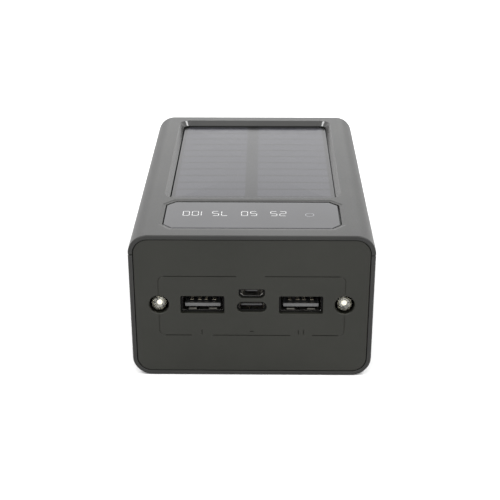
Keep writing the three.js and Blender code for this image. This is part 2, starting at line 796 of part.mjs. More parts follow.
function addLargeSocket(side, label) {
  const [width, height, length] = largeShell;
  const place = [side * largeOffset, panelFace + largeSetback, socketCentre];
  const inner = roundedRect(width - 2 * shellWall, height - 2 * shellWall, 0.15);
  const shell = socketShell(roundedRect(width, height, 0.5), inner, length, 2);
  addPart(`usb_a_shell_${label}`, shell, place, ...bareSteel);

  const blockBack = length - shellWall - 0.1;
  const blockHalf = [width / 2 - shellWall - 0.1, height / 2 - shellWall - 0.1];
  const tongueTop = largeTongue[1] / 2 - tongueDrop;
  const tongueHalf = largeTongue[0] / 2;
  const tongue = join(
    block([-tongueHalf, tongueSetback, tongueTop - largeTongue[1]], [tongueHalf, blockBack, tongueTop]),
    block([-blockHalf[0], blockBack - tongueBlock, -blockHalf[1]], [blockHalf[0], blockBack, blockHalf[1]]),
  );
  addPart(`usb_a_tongue_${label}`, tongue, place, ...palePlastic);

  // Each contact is a flat leaf with a raised nose near its front end.
  const [contactWidth, contactLength, contactThickness] = contactSize;
  const [noseStart, noseTop, noseEnd] = contactNose;
  const leaf = polygon([
    [0, 0],
    [contactLength, 0],
    [contactLength, contactThickness],
    [noseEnd, contactThickness],
    [noseTop, contactRise],
    [noseStart, contactRise],
    [noseStart, contactThickness],
    [0, contactThickness],
  ]);
  contactOffsets.forEach((x, index) => {
    const strip = alongX(leaf, -contactWidth / 2, contactWidth / 2);
    const spot = [place[0] + x, place[1] + tongueSetback + 0.5, place[2] + tongueTop + glueGap];
    addPart(`usb_a_contact_${label}_${index + 1}`, strip, spot, ...gold);
  });
}

function addSmallSockets() {
  const [width, height, length] = reversibleShell;
  const place = [0, panelFace + smallSetback, reversibleCentre];
  const inner = stadium(width - 2 * shellWall, height - 2 * shellWall);
  addPart('usb_c_shell', socketShell(stadium(width, height), inner, length, 6), place, ...bareSteel);
  const tongue = block(
    [-reversibleTongue[0] / 2, 0.8, -reversibleTongue[1] / 2],
    [reversibleTongue[0] / 2, length - shellWall - 0.1, reversibleTongue[1] / 2],
  );
  addPart('usb_c_tongue', tongue, place, 0x1a1a1c, 0.5, 0);

  const [microWidth, microHeight, microLength] = microShell;
  const microPlace = [0, panelFace + smallSetback, microCentre];
  const microInner = taperedSlot(microWidth - 2 * shellWall, microHeight - 2 * shellWall, microTaper * 0.8);
  const microOuter = taperedSlot(microWidth, microHeight, microTaper);
  addPart('micro_usb_shell', socketShell(microOuter, microInner, microLength), microPlace, ...bareSteel);
  const microInsulator = block(
    [-microTongue[0] / 2, 0.8, 0],
    [microTongue[0] / 2, microLength - shellWall - 0.1, microTongue[1]],
  );
  addPart('micro_usb_tongue', microInsulator, microPlace, 0x1a1a1c, 0.5, 0);
}

// ---- torch lights ----

function addTorch(side, label) {
  const [flangeOut, flangeThickness] = torchFlange;
  const domeSteps = 6;
  const profile = [[0, 0]];
  for (let i = 1; i <= domeSteps; i += 1) {
    const angle = (i / domeSteps) * (Math.PI / 2);
    profile.push([torchRadius * Math.sin(angle), torchRadius * (1 - Math.cos(angle))]);
  }
  profile.push([torchRadius, torchLength - flangeThickness]);
  profile.push([torchRadius + flangeOut, torchLength - flangeThickness]);
  profile.push([torchRadius + flangeOut, torchLength]);
  profile.push([0, torchLength]);
  const lens = turned(profile, 24).rotate([-90, 0, 0]);
  const tip = [side * torchOffset, frontEdge + torchTip, socketCentre];
  addPart(`torch_led_${label}`, lens, tip, 0xe9eef2, 0.05, 0);

  const half = torchLeadSize / 2;
  const rise = boardBottom - glueGap - socketCentre;
  const bend = polygon([
    [0, -half], [torchLeadRun, -half], [torchLeadRun, rise],
    [torchLeadRun - torchLeadSize, rise], [torchLeadRun - torchLeadSize, half], [0, half],
  ]);
  for (const leg of [-1, 1]) {
    const x = side * torchOffset + (leg * torchLeadPitch) / 2;
    const y = frontEdge + torchTip + torchLength + glueGap;
    const name = `torch_lead_${label}_${leg < 0 ? 1 : 2}`;
    addPart(name, alongX(bend, -half, half), [x, y, socketCentre], ...bareSteel);
  }
}

// ---- power button ----

function addButton() {
  const place = [0, buttonY, buttonLevel];
  const [flangeLength, flangeHeight, flangeThickness] = buttonFlange;
  const flangeOuter = innerSide - fitGap;
  const flangeInner = flangeOuter - flangeThickness;
  const plungerTip = sideFace - plungerFromSide;
  const cap = join(
    alongX(stadium(buttonFace[0], buttonFace[1]), flangeOuter - 0.2, sideFace - buttonSink, 8),
    alongX(stadium(flangeLength, flangeHeight), flangeInner, flangeOuter, 8),
    block([plungerTip + glueGap, -buttonStem[0] / 2, -buttonStem[1] / 2],
      [flangeInner + 0.2, buttonStem[0] / 2, buttonStem[1] / 2]),
  );
  addPart('power_button', cap, place, 0x1c1c1c, 0.4, 0);

  const [bodyDepth, bodyLength, bodyHeight] = switchSize;
  const bodyOuter = sideFace - switchFromSide;
  const [plungerLength, plungerWide, plungerHigh] = plungerSize;
  const pocketY = plungerWide / 2 + plungerGap;
  const pocketZ = plungerHigh / 2 + plungerGap;
  const bodyInner = bodyOuter - bodyDepth;
  const body = cut(
    block([bodyInner, -bodyLength / 2, -bodyHeight / 2], [bodyOuter, bodyLength / 2, bodyHeight / 2]),
    block([bodyOuter - plungerPocket, -pocketY, -pocketZ], [bodyOuter + 1, pocketY, pocketZ]),
  );
  addPart('switch_body', body, place, 0x2a2a2c, 0.5, 0);
  const plunger = block(
    [plungerTip - plungerLength, -plungerWide / 2, -plungerHigh / 2],
    [plungerTip, plungerWide / 2, plungerHigh / 2],
  );
  addPart('switch_plunger', plunger, place, 0xe6e2d8, 0.5, 0);
}

// ---- cells and wiring ----

const cellsBottom = caseWall + cellFloorGap;
const cellPitch = (trayUnderside - cellTopGap - cellsBottom + cellGap) / cellCount;
const cellThickness = cellPitch - cellGap;

function tabLevel(index) {
  return cellsBottom + index * cellPitch + cellThickness / 2;
}

function addCells() {
  const length = cellBack - cellFront;
  for (let i = 0; i < cellCount; i += 1) {
    const pouch = upright(roundedRect(2 * cellHalfWidth, length, cellCorner), 0, cellThickness, 3)
      .translate([0, length / 2, 0]);
    const tabs = [-1, 1].map((side) => block(
      [side * stripOffset - tabSize[0] / 2, -tabSize[1], cellThickness / 2 - tabSize[2] / 2],
      [side * stripOffset + tabSize[0] / 2, 0.5, cellThickness / 2 + tabSize[2] / 2],
    ));
    const place = [0, cellFront, cellsBottom + i * cellPitch];
    addPart(`battery_cell_${i + 1}`, join(pouch, ...tabs), place, 0xa9adb2, 0.35, 0.6);
  }
  for (const [side, label] of [[1, 'positive'], [-1, 'negative']]) {
    const strip = block(
      [-tabSize[0] / 2, 0, tabLevel(0) - stripOverlap],
      [tabSize[0] / 2, stripThickness, tabLevel(cellCount - 1) + stripOverlap],
    );
    addPart(`battery_strip_${label}`, strip, [side * stripOffset, stripFront, 0], 0xc2c1b8, 0.35, 1);
  }
}

function addBatteryLead(side, label, color) {
  const start = [side * stripOffset, stripFront - solderGap, tabLevel(cellCount - 1) - 2];
  const endX = side * (innerPost.x + 3.6);
  const lead = wire([
    start,
    [side * stripOffset, start[1] - 1.5, start[2]],
    [(start[0] + endX) / 2, start[1] - 3.4, (start[2] + boardTop) / 2 + 1.5],
    [endX, start[1] - 3.8, boardTop + 2],
    [endX, start[1] - 3.8, boardTop + solderGap],
  ], batteryLeadRadius);
  addPart(`battery_lead_${label}`, lead, home, color, 0.5, 0);
}

function addSolarLead(x, label, color) {
  const middle = (leadHole.front + leadHole.back) / 2;
  const overCells = trayUnderside - 0.75;
  const landing = boardBack - 1.6;
  const lead = wire([
    [x, middle, solarBoardBottom - solderGap],
    [x, middle, trayUnderside + 0.6],
    [x, middle - 2, overCells],
    [x, cellFront - 2, overCells - 0.6],
    [x, landing + 0.6, (overCells + boardTop) / 2 + 3],
    [x, landing, boardTop + 2.5],
    [x, landing, boardTop + solderGap],
  ], solarLeadRadius);
  addPart(`solar_lead_${label}`, lead, home, color, 0.5, 0);
}

// A flat cable that hangs in a shallow bow between the two boards.
function addDisplayCable() {
  const low = boardTop + glueGap;
  const high = gaugeBoardTop - gaugeBoardThickness - glueGap;
  const bow = 2.4;
  const steps = 10;
  const side = (offset) => Array.from({ length: steps + 1 }, (_, i) => {
    const share = i / steps;
    return [offset - bow * Math.sin(share * Math.PI), low + share * (high - low)];
  });
  const profile = polygon([...side(cableThickness / 2), ...side(-cableThickness / 2).reverse()]);
  const cable = alongX(profile, -cableWidth / 2, cableWidth / 2);
  addPart('display_cable', cable, [0, windowMiddle + 3, 0], 0xd6d2c4, 0.6, 0);
}

addCase();
addSolarPanel();
addGauge();
addBoard();
addLargeSocket(-1, 'left');
addLargeSocket(1, 'right');
addSmallSockets();
addTorch(-1, 'left');
addTorch(1, 'right');
addButton();
addCells();
addBatteryLead(1, 'red', 0xa32020);
addBatteryLead(-1, 'black', 0x151515);
addSolarLead(solarLeadX, 'red', 0xa32020);
addSolarLead(solarLeadX - solarLeadSpacing, 'black', 0x151515);
addDisplayCable();

export default charger;
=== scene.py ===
import math

import bmesh
import bpy
import numpy as np
from mathutils import Matrix, Vector


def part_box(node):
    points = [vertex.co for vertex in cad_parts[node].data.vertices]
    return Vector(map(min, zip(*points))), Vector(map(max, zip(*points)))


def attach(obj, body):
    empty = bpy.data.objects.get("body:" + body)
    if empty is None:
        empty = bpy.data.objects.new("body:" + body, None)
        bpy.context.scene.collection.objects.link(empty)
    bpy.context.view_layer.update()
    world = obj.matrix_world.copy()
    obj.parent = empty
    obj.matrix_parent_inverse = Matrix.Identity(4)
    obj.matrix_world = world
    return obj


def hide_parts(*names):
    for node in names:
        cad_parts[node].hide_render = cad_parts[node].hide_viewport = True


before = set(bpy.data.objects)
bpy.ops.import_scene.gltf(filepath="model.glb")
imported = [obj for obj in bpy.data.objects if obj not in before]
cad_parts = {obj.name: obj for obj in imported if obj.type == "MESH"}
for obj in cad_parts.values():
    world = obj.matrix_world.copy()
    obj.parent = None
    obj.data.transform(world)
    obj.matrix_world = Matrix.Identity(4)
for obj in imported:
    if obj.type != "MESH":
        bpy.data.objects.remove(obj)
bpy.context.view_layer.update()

mm = 0.001
bodyName = "case"
leastCorner = 0.02  # no corner of an outline is rounded by less


# Places read off the frame, in millimetres

def nodeBox(name):
    # the low and high corners of a node's box, from metres to millimetres
    low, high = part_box(name)
    return np.array(low) / mm, np.array(high) / mm


lowHigh = nodeBox("lower_case")[1]
coverLow, coverHigh = nodeBox("top_cover")
plateLow, plateHigh = nodeBox("front_panel")
halfWidth = lowHigh[0]
halfLength = lowHigh[1]
caseTop = coverHigh[2]
caseMiddle = caseTop / 2
hookReach = 4.9  # the cover's hooks end this far below the seam
seamLevel = coverLow[2] + hookReach
plateFace = plateLow[1]
print("frame read")


# Outlines: closed rows of points in a plane, pushed outwards by grow

def roundedLoop(halfX, halfY, radius, steps=10):
    # four quarter circles joined by straight sides
    angle = np.linspace(0, math.pi / 2, steps + 1) + np.arange(4)[:, None] * math.pi / 2
    side = np.array([[1, 1], [-1, 1], [-1, -1], [1, -1]])
    centre = side * (halfX - radius, halfY - radius)
    arc = radius * np.stack([np.cos(angle), np.sin(angle)], -1)
    return (centre[:, None] + arc).reshape(-1, 2)


def growingRound(halfX, halfY, radius, steps=10):
    # each half size and the radius gain grow, so the corners stay concentric
    def at(grow):
        return roundedLoop(halfX + grow, halfY + grow, max(radius + grow, leastCorner), steps)
    return at


def growingCorners(points, radius, steps=4):
    # a polygon whose sides move outwards by grow and whose corners are arcs between the sides
    points = np.array(points, float)

    def at(grow):
        # corner = point + (its two side normals added) / (1 + their dot product) x (grow - radius)
        edge = np.roll(points, -1, 0) - points
        edge /= np.linalg.norm(edge, axis=1)[:, None]
        normal = np.stack([edge[:, 1], -edge[:, 0]], -1)
        before = np.roll(normal, 1, 0)
        reach = 1 + (normal * before).sum(1)
        miter = (normal + before) / reach[:, None]
        corner = points + miter * (grow - radius)
        start = np.arctan2(before[:, 1], before[:, 0])
        sweep = np.arctan2(normal[:, 1], normal[:, 0]) - start
        sweep = (sweep + math.pi) % (2 * math.pi) - math.pi
        angle = start[:, None] + sweep[:, None] * np.linspace(0, 1, steps + 1)
        arc = radius * np.stack([np.cos(angle), np.sin(angle)], -1)
        return (corner[:, None] + arc).reshape(-1, 2)
    return at


def circleLoop(radius, steps=48):
    # equal steps round a circle whose radius gains grow
    angle = np.linspace(0, 2 * math.pi, steps, endpoint=False)
    unit = np.stack([np.cos(angle), np.sin(angle)], -1)

    def at(grow):
        return unit * max(radius + grow, 0.0)
    return at


# How a local outline (u, v) and a distance along it (w) turn into X, Y and Z

def upwards(u, v, w):
    # u along X, v along Y, w along Z
    return np.stack([u, v, w], -1)


def backwards(u, v, w):
    # u along X, v along Z, w along Y
    return np.stack([u, w, v], -1)


def sidewards(u, v, w):
    # u along Y, v along Z, w along X
    return np.stack([w, u, v], -1)


# Meshes

def settle(piece):
    # makes what the modifiers show the piece's own mesh
    view = bpy.context.evaluated_depsgraph_get()
    view.update()
    settled = bpy.data.meshes.new_from_object(piece.evaluated_get(view))
    piece.modifiers.clear()
    old = piece.data
    piece.data = settled
    bpy.data.meshes.remove(old)
    settled.name = piece.name


def pieceFrom(name, points, faces):
    # points in millimetres; those that coincide are merged and the faces turned outwards
    mesh = bpy.data.meshes.new(name)
    mesh.from_pydata((np.asarray(points) * mm).tolist(), [], faces)
    work = bmesh.new()
    work.from_mesh(mesh)
    bmesh.ops.remove_doubles(work, verts=work.verts, dist=1e-7)
    bmesh.ops.dissolve_degenerate(work, edges=work.edges, dist=1e-8)
    bmesh.ops.recalc_face_normals(work, faces=work.faces)
    work.to_mesh(mesh)
    work.free()
    piece = bpy.data.objects.new(name, mesh)
    bpy.context.scene.collection.objects.link(piece)
    return piece


def gridFaces(rows, count, wrapRows=False, wrapCount=True):
    # four-cornered faces between neighbouring rows of points
    row = np.arange(rows if wrapRows else rows - 1)
    column = np.arange(count if wrapCount else count - 1)
    r, c = np.meshgrid(row, column, indexing="ij")
    nextRow = (r + 1) % rows
    nextColumn = (c + 1) % count
    quad = [r * count + c, r * count + nextColumn, nextRow * count + nextColumn, nextRow * count + c]
    return np.stack(quad, -1).reshape(-1, 4).tolist()


def endFaces(rows, count):
    # one face over the first row of points and one over the last
    return [list(range(count)), list(range((rows - 1) * count, rows * count))]


def carried(name, loopAt, profile, turn, centre=(0, 0, 0), ring=False):
    # an outline carried through a profile of (grow, along) points, closed by a face at each end
    loops = np.array([loopAt(grow) for grow, along in profile])
    along = np.array([point[1] for point in profile], float)
    rows, count = loops.shape[:2]
    w = np.broadcast_to(along[:, None], (rows, count))
    points = (turn(loops[..., 0], loops[..., 1], w) + np.array(centre)).reshape(-1, 3)
    faces = gridFaces(rows, count, wrapRows=ring)
    if not ring:
        faces += endFaces(rows, count)
    return pieceFrom(name, points, faces)


def blockOf(name, low, high):
    # a box between two corners: its plan carried from the bottom to the top
    low = np.array(low, float)
    high = np.array(high, float)
    middle = (low + high) / 2
    half = (high - low) / 2
    loop = growingRound(half[0], half[1], 0.001, 1)
    return carried(name, loop, [(0, -half[2]), (0, half[2])], upwards, middle)


def arcProfile(grow, along, radius, start, end, steps=5):
    # profile points on a circle about (grow, along), from one angle to another in degrees
    angle = np.radians(np.linspace(start, end, steps + 1))
    return [(grow + radius * math.cos(a), along + radius * math.sin(a)) for a in angle]


def swept(name, path, section, turn, centre=(0, 0, 0)):
    # a section of (across, along) points carried down a flat path, with closed ends
    path = np.array(path, float)
    section = np.array(section, float)
    step = np.diff(path, axis=0)
    step /= np.linalg.norm(step, axis=1)[:, None]
    side = np.stack([-step[:, 1], step[:, 0]], -1)
    before = np.vstack([side[:1], side])
    after = np.vstack([side, side[-1:]])
    normal = (before + after) / (1 + (before * after).sum(1))[:, None]
    flat = path[:, None] + normal[:, None] * section[None, :, :1]
    along = np.broadcast_to(section[None, :, 1], flat.shape[:2])
    points = (turn(flat[..., 0], flat[..., 1], along) + np.array(centre)).reshape(-1, 3)
    faces = gridFaces(len(path), len(section)) + endFaces(len(path), len(section))
    return pieceFrom(name, points, faces)


def leafStrip(name, place, along, rise, half, thickness):
    # a flat strip carried along Y from place, each step lifted by its rise
    section = np.array([(-half, 0.0), (half, 0.0), (half, thickness), (-half, thickness)])
    shape = (len(along), len(section))
    u = np.broadcast_to(section[:, 0], shape)
    v = np.broadcast_to(np.array(along)[:, None], shape)
    w = np.array(rise)[:, None] + section[:, 1]
    points = (np.stack([u, v, w], -1) + np.array(place)).reshape(-1, 3)
    return pieceFrom(name, points, gridFaces(*shape) + endFaces(*shape))


def combine(piece, operation, *tools):
    # each tool is added to or taken from the piece, then removed
    for tool in tools:
        step = piece.modifiers.new("shape", "BOOLEAN")
        step.operation = operation
        step.solver = "EXACT"
        step.object = tool
    settle(piece)
    for tool in tools:
        bpy.data.objects.remove(tool)
    return piece


def carve(piece, *tools):
    # the piece less the tools
    return combine(piece, "DIFFERENCE", *tools)


def joined(name, pieces):
    # several closed meshes as one piece
    points = []
    faces = []
    offset = 0
    for piece in pieces:
        mesh = piece.data
        places = np.empty(len(mesh.vertices) * 3)
        mesh.vertices.foreach_get("co", places)
        corners = np.empty(len(mesh.loops), np.int32)
        mesh.loops.foreach_get("vertex_index", corners)
        starts = np.empty(len(mesh.polygons), np.int32)
        mesh.polygons.foreach_get("loop_start", starts)
        points.append(places.reshape(-1, 3) / mm)
        faces += [face.tolist() for face in np.split(corners + offset, starts[1:])]
        offset += len(mesh.vertices)
        bpy.data.objects.remove(piece)
    return pieceFrom(name, np.vstack(points), faces)


def finished(piece, material, slot, *nodes, body=bodyName, crease=34):
    # soft shading with crisp creases, a material, a body to ride on and the nodes it stands for
    piece.data.materials.clear()
    piece.data.materials.append(material)
    piece.data.shade_smooth()
    piece.data.set_sharp_from_angle(angle=math.radians(crease))
    weigh = piece.modifiers.new("normals", "WEIGHTED_NORMAL")
    weigh.keep_sharp = True
    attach(piece, body)
    if nodes:
        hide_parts(*nodes)
    return piece


# Materials

def newMaterial(name):
    # a shader, and each point's place on the object
    material = bpy.data.materials.new(name)
    material.use_nodes = True
    tree = material.node_tree
    shader = tree.nodes["Principled BSDF"]
    place = tree.nodes.new("ShaderNodeTexCoord").outputs["Object"]
    return material, tree, shader, place


def grain(tree, place, scale, detail=3.0, stretch=None):
    # noise over the place, which may be stretched along an axis
    if stretch:
        mapping = tree.nodes.new("ShaderNodeMapping")
        mapping.inputs["Scale"].default_value = stretch
        tree.links.new(place, mapping.inputs["Vector"])
        place = mapping.outputs["Vector"]
    noise = tree.nodes.new("ShaderNodeTexNoise")
    noise.inputs["Scale"].default_value = scale
    noise.inputs["Detail"].default_value = detail
    tree.links.new(place, noise.inputs["Vector"])
    return noise.outputs["Fac"]


def spread(tree, value, low, high, fromLow=0.3, fromHigh=0.7):
    # low + (high - low) x (value - fromLow) / (fromHigh - fromLow), held between low and high
    step = tree.nodes.new("ShaderNodeMapRange")
    step.inputs["From Min"].default_value = fromLow
    step.inputs["From Max"].default_value = fromHigh
    step.inputs["To Min"].default_value = low
    step.inputs["To Max"].default_value = high
    tree.links.new(value, step.inputs["Value"])
    return step.outputs["Result"]


def tinted(tree, value, dark, light):
    # a colour that runs from dark to light as the value rises from 0.3 to 0.7
    ramp = tree.nodes.new("ShaderNodeValToRGB")
    ramp.color_ramp.elements[0].position = 0.3
    ramp.color_ramp.elements[1].position = 0.7
    ramp.color_ramp.elements[0].color = (*dark, 1)
    ramp.color_ramp.elements[1].color = (*light, 1)
    tree.links.new(value, ramp.inputs["Fac"])
    return ramp.outputs["Color"]


def bumped(tree, shader, height, strength, distance):
    # the surface leans by the slope of the height
    bump = tree.nodes.new("ShaderNodeBump")
    bump.inputs["Strength"].default_value = strength
    bump.inputs["Distance"].default_value = distance
    tree.links.new(height, bump.inputs["Height"])
    tree.links.new(bump.outputs["Normal"], shader.inputs["Normal"])


def grainyMaterial(name, look):
    # a base colour and a gloss that both wander a little, over a fine raised grain
    material, tree, shader, place = newMaterial(name)
    cloud = grain(tree, place, look["cloudScale"])
    fine = grain(tree, place, look["grainScale"], 2.0, look.get("stretch"))
    tree.links.new(tinted(tree, cloud, look["dark"], look["light"]), shader.inputs["Base Color"])
    low, high = look["roughness"]
    tree.links.new(spread(tree, fine, low, high), shader.inputs["Roughness"])
    bumped(tree, shader, fine, look["bump"], look["bumpDepth"])
    shader.inputs["Metallic"].default_value = look.get("metallic", 0.0)
    shader.inputs["IOR"].default_value = 1.5
    shader.inputs["Specular IOR Level"].default_value = look.get("specular", 0.5)
    shader.inputs["Coat Weight"].default_value = look.get("coat", 0.0)
    shader.inputs["Coat Roughness"].default_value = 0.05
    shader.inputs["Emission Color"].default_value = (1, 0.98, 0.9, 1)
    shader.inputs["Emission Strength"].default_value = look.get("paintedGlow", 0.0)
    return material


# two noises set each look: the cloud mixes dark and light, and the grain sets the roughness and the bump;
# specular, metallic, coat and glow go to the shader as they are; the glow is emission, a painted highlight
# that makes the torch die shine
looks = {
    "shellPlastic": {
        "dark": (0.010, 0.010, 0.0095), "light": (0.014, 0.014, 0.013), "roughness": (0.42, 0.52),
        "cloudScale": 60, "grainScale": 4200, "bump": 0.25, "bumpDepth": 0.00002, "specular": 0.44,
    },
    "panelPlastic": {
        "dark": (0.0086, 0.0089, 0.0062), "light": (0.0113, 0.0115, 0.0085), "roughness": (0.42, 0.55),
        "cloudScale": 45, "grainScale": 5200, "bump": 0.3, "bumpDepth": 0.00002, "specular": 0.27,
    },
    "windowPlastic": {
        "dark": (0.012, 0.012, 0.014), "light": (0.016, 0.016, 0.019), "roughness": (0.05, 0.09),
        "cloudScale": 80, "grainScale": 900, "bump": 0.04, "bumpDepth": 0.00002, "specular": 0.475,
    },
    "buttonPlastic": {
        "dark": (0.018, 0.018, 0.018), "light": (0.024, 0.024, 0.024), "roughness": (0.28, 0.36),
        "cloudScale": 90, "grainScale": 3600, "bump": 0.2, "bumpDepth": 0.00002,
    },
    "digitInk": {
        "dark": (0.33, 0.33, 0.33), "light": (0.40, 0.40, 0.40), "roughness": (0.3, 0.4),
        "cloudScale": 300, "grainScale": 3000, "bump": 0.05, "bumpDepth": 0.00001,
    },
    "iconInk": {
        "dark": (0.12, 0.12, 0.13), "light": (0.14, 0.14, 0.15), "roughness": (0.3, 0.4),
        "cloudScale": 300, "grainScale": 3000, "bump": 0.05, "bumpDepth": 0.00001,
    },
    "platedSteel": {
        "dark": (0.50, 0.49, 0.47), "light": (0.64, 0.63, 0.61), "roughness": (0.18, 0.30),
        "cloudScale": 250, "grainScale": 900, "stretch": (1, 0.12, 1), "bump": 0.15,
        "bumpDepth": 0.00002, "metallic": 1.0,
    },
    "nickelStrip": {
        "dark": (0.55, 0.54, 0.50), "light": (0.66, 0.65, 0.61), "roughness": (0.25, 0.38),
        "cloudScale": 120, "grainScale": 800, "stretch": (1, 1, 0.1), "bump": 0.2,
        "bumpDepth": 0.00002, "metallic": 1.0,
    },
    "tonguePlastic": {
        "dark": (0.085, 0.085, 0.085), "light": (0.105, 0.105, 0.105), "roughness": (0.38, 0.5),
        "cloudScale": 200, "grainScale": 2500, "bump": 0.1, "bumpDepth": 0.00002,
    },
    # a dark insulator for the small sockets' tongues, the switch and the cells, and painted shade on the
    # large tongues' tops
    "darkInsulatorAndShade": {
        "dark": (0.018, 0.018, 0.019), "light": (0.027, 0.027, 0.028), "roughness": (0.32, 0.42),
        "cloudScale": 200, "grainScale": 2500, "bump": 0.1, "bumpDepth": 0.00002,
    },
    "goldContact": {
        "dark": (0.70, 0.63, 0.50), "light": (0.86, 0.79, 0.64), "roughness": (0.16, 0.26),
        "cloudScale": 300, "grainScale": 900, "stretch": (1, 0.15, 1), "bump": 0.1,
        "bumpDepth": 0.00001, "metallic": 1.0,
    },
    "circuitBoard": {
        "dark": (0.010, 0.060, 0.024), "light": (0.018, 0.090, 0.036), "roughness": (0.28, 0.40),
        "cloudScale": 400, "grainScale": 1500, "bump": 0.3, "bumpDepth": 0.00004, "coat": 0.3,
    },
    "foamTape": {
        "dark": (0.62, 0.60, 0.54), "light": (0.74, 0.72, 0.66), "roughness": (0.8, 0.95),
        "cloudScale": 150, "grainScale": 1800, "bump": 0.8, "bumpDepth": 0.00008,
    },
    "maskPlastic": {
        "dark": (0.66, 0.66, 0.64), "light": (0.74, 0.74, 0.72), "roughness": (0.45, 0.6),
        "cloudScale": 100, "grainScale": 2400, "bump": 0.1, "bumpDepth": 0.00002,
    },
    "ledResin": {
        "dark": (0.78, 0.74, 0.50), "light": (0.88, 0.85, 0.66), "roughness": (0.3, 0.45),
        "cloudScale": 900, "grainScale": 3000, "bump": 0.1, "bumpDepth": 0.00001,
    },
    "pouchFoil": {
        "dark": (0.42, 0.43, 0.45), "light": (0.56, 0.57, 0.59), "roughness": (0.28, 0.46),
        "cloudScale": 35, "grainScale": 260, "bump": 0.35, "bumpDepth": 0.00015, "metallic": 0.7,
    },
    "ferriteGrey": {
        "dark": (0.05, 0.05, 0.055), "light": (0.09, 0.09, 0.095), "roughness": (0.6, 0.8),
        "cloudScale": 300, "grainScale": 2600, "bump": 0.7, "bumpDepth": 0.00005,
    },
    "chipResin": {
        "dark": (0.016, 0.016, 0.017), "light": (0.026, 0.026, 0.027), "roughness": (0.45, 0.6),
        "cloudScale": 300, "grainScale": 3200, "bump": 0.3, "bumpDepth": 0.00002,
    },
    # near black: painted shade for the rings behind the socket openings
    "shadeBlack": {
        "dark": (0.003, 0.003, 0.003), "light": (0.006, 0.006, 0.006), "roughness": (0.7, 0.9),
        "cloudScale": 300, "grainScale": 2600, "bump": 0.3, "bumpDepth": 0.00002, "specular": 0.1,
    },
    # the plated steel at about half its brightness: painted shade for the socket shells and their spring
    # leaves, which lie in the dark of the openings
    "shadeDarkSteel": {
        "dark": (0.22, 0.215, 0.20), "light": (0.32, 0.31, 0.29), "roughness": (0.25, 0.38),
        "cloudScale": 250, "grainScale": 900, "stretch": (1, 0.12, 1), "bump": 0.15,
        "bumpDepth": 0.00002, "metallic": 1.0,
    },
    "redWire": {
        "dark": (0.36, 0.015, 0.012), "light": (0.46, 0.025, 0.02), "roughness": (0.4, 0.5),
        "cloudScale": 300, "grainScale": 2200, "bump": 0.15, "bumpDepth": 0.00003,
    },
    "blackWire": {
        "dark": (0.012, 0.012, 0.012), "light": (0.020, 0.020, 0.020), "roughness": (0.4, 0.5),
        "cloudScale": 300, "grainScale": 2200, "bump": 0.15, "bumpDepth": 0.00003,
    },
    "flatCable": {
        "dark": (0.60, 0.57, 0.48), "light": (0.70, 0.67, 0.58), "roughness": (0.4, 0.55),
        "cloudScale": 200, "grainScale": 900, "stretch": (1, 0.05, 0.05), "bump": 0.4,
        "bumpDepth": 0.00005,
    },
    "cupSilver": {
        "dark": (0.03, 0.03, 0.025), "light": (0.34, 0.33, 0.29), "roughness": (0.15, 0.3),
        "cloudScale": 1100, "grainScale": 1300, "bump": 1.0, "bumpDepth": 0.0003, "metallic": 1.0,
    },
    # the die glows faintly: a painted highlight in the middle of each torch lens
    "dieYellow": {
        "dark": (0.86, 0.80, 0.50), "light": (0.95, 0.92, 0.72), "roughness": (0.4, 0.55),
        "cloudScale": 900, "grainScale": 2400, "bump": 0.2, "bumpDepth": 0.00002, "paintedGlow": 0.6,
    },
}
finishes = {name: grainyMaterial(name, look) for name, look in looks.items()}


epoxy = {
    "colour": (0.97, 0.98, 0.99),
    "ior": 1.52,
    "roughness": (0.0, 0.04),
    "rippleScale": 420,
    "ripple": (0.12, 0.00006),  # its strength and its height
}


def lensMaterial():
    # clear epoxy with a faint ripple in its surface
    material, tree, shader, place = newMaterial("clearEpoxy")
    shader.inputs["Base Color"].default_value = (*epoxy["colour"], 1)
    shader.inputs["Transmission Weight"].default_value = 1.0
    shader.inputs["IOR"].default_value = epoxy["ior"]
    ripple = grain(tree, place, epoxy["rippleScale"])
    tree.links.new(spread(tree, ripple, *epoxy["roughness"]), shader.inputs["Roughness"])
    bumped(tree, shader, ripple, *epoxy["ripple"])
    return material


def calc(tree, operation, first, second):
    # one sum on two values, each a number or another node's result
    node = tree.nodes.new("ShaderNodeMath")
    node.operation = operation
    for place, value in zip(node.inputs, (first, second)):
        if isinstance(value, (int, float)):
            place.default_value = value
        else:
            tree.links.new(value, place)
    return node.outputs["Value"]


def between(tree, value, low, high):
    # 1 where the value lies between two places in millimetres, 0 elsewhere
    above = calc(tree, "GREATER_THAN", value, low * mm)
    below = calc(tree, "LESS_THAN", value, high * mm)
    return calc(tree, "MULTIPLY", above, below)


shellZones = {
    "slopeX": (25.25, 29.3),  # the sloping sides of the recess, from the middle
    "slopeY": (-23.6, 48.0),
    "cornerY": (48.0, 51.9),  # its back wall and the two back corners
    "depth": (-2.5, -0.04),  # both lie between these levels, from the top
    "rimDepth": 0.3,  # the end face of the front rim
    "slope": (0.4, 2.25),  # share of the roughness and of the shine that each zone has
    "corner": (0.14, 1.15),
    "back": (1.0, 0.72),
    "rim": (1.0, 0.62),
}


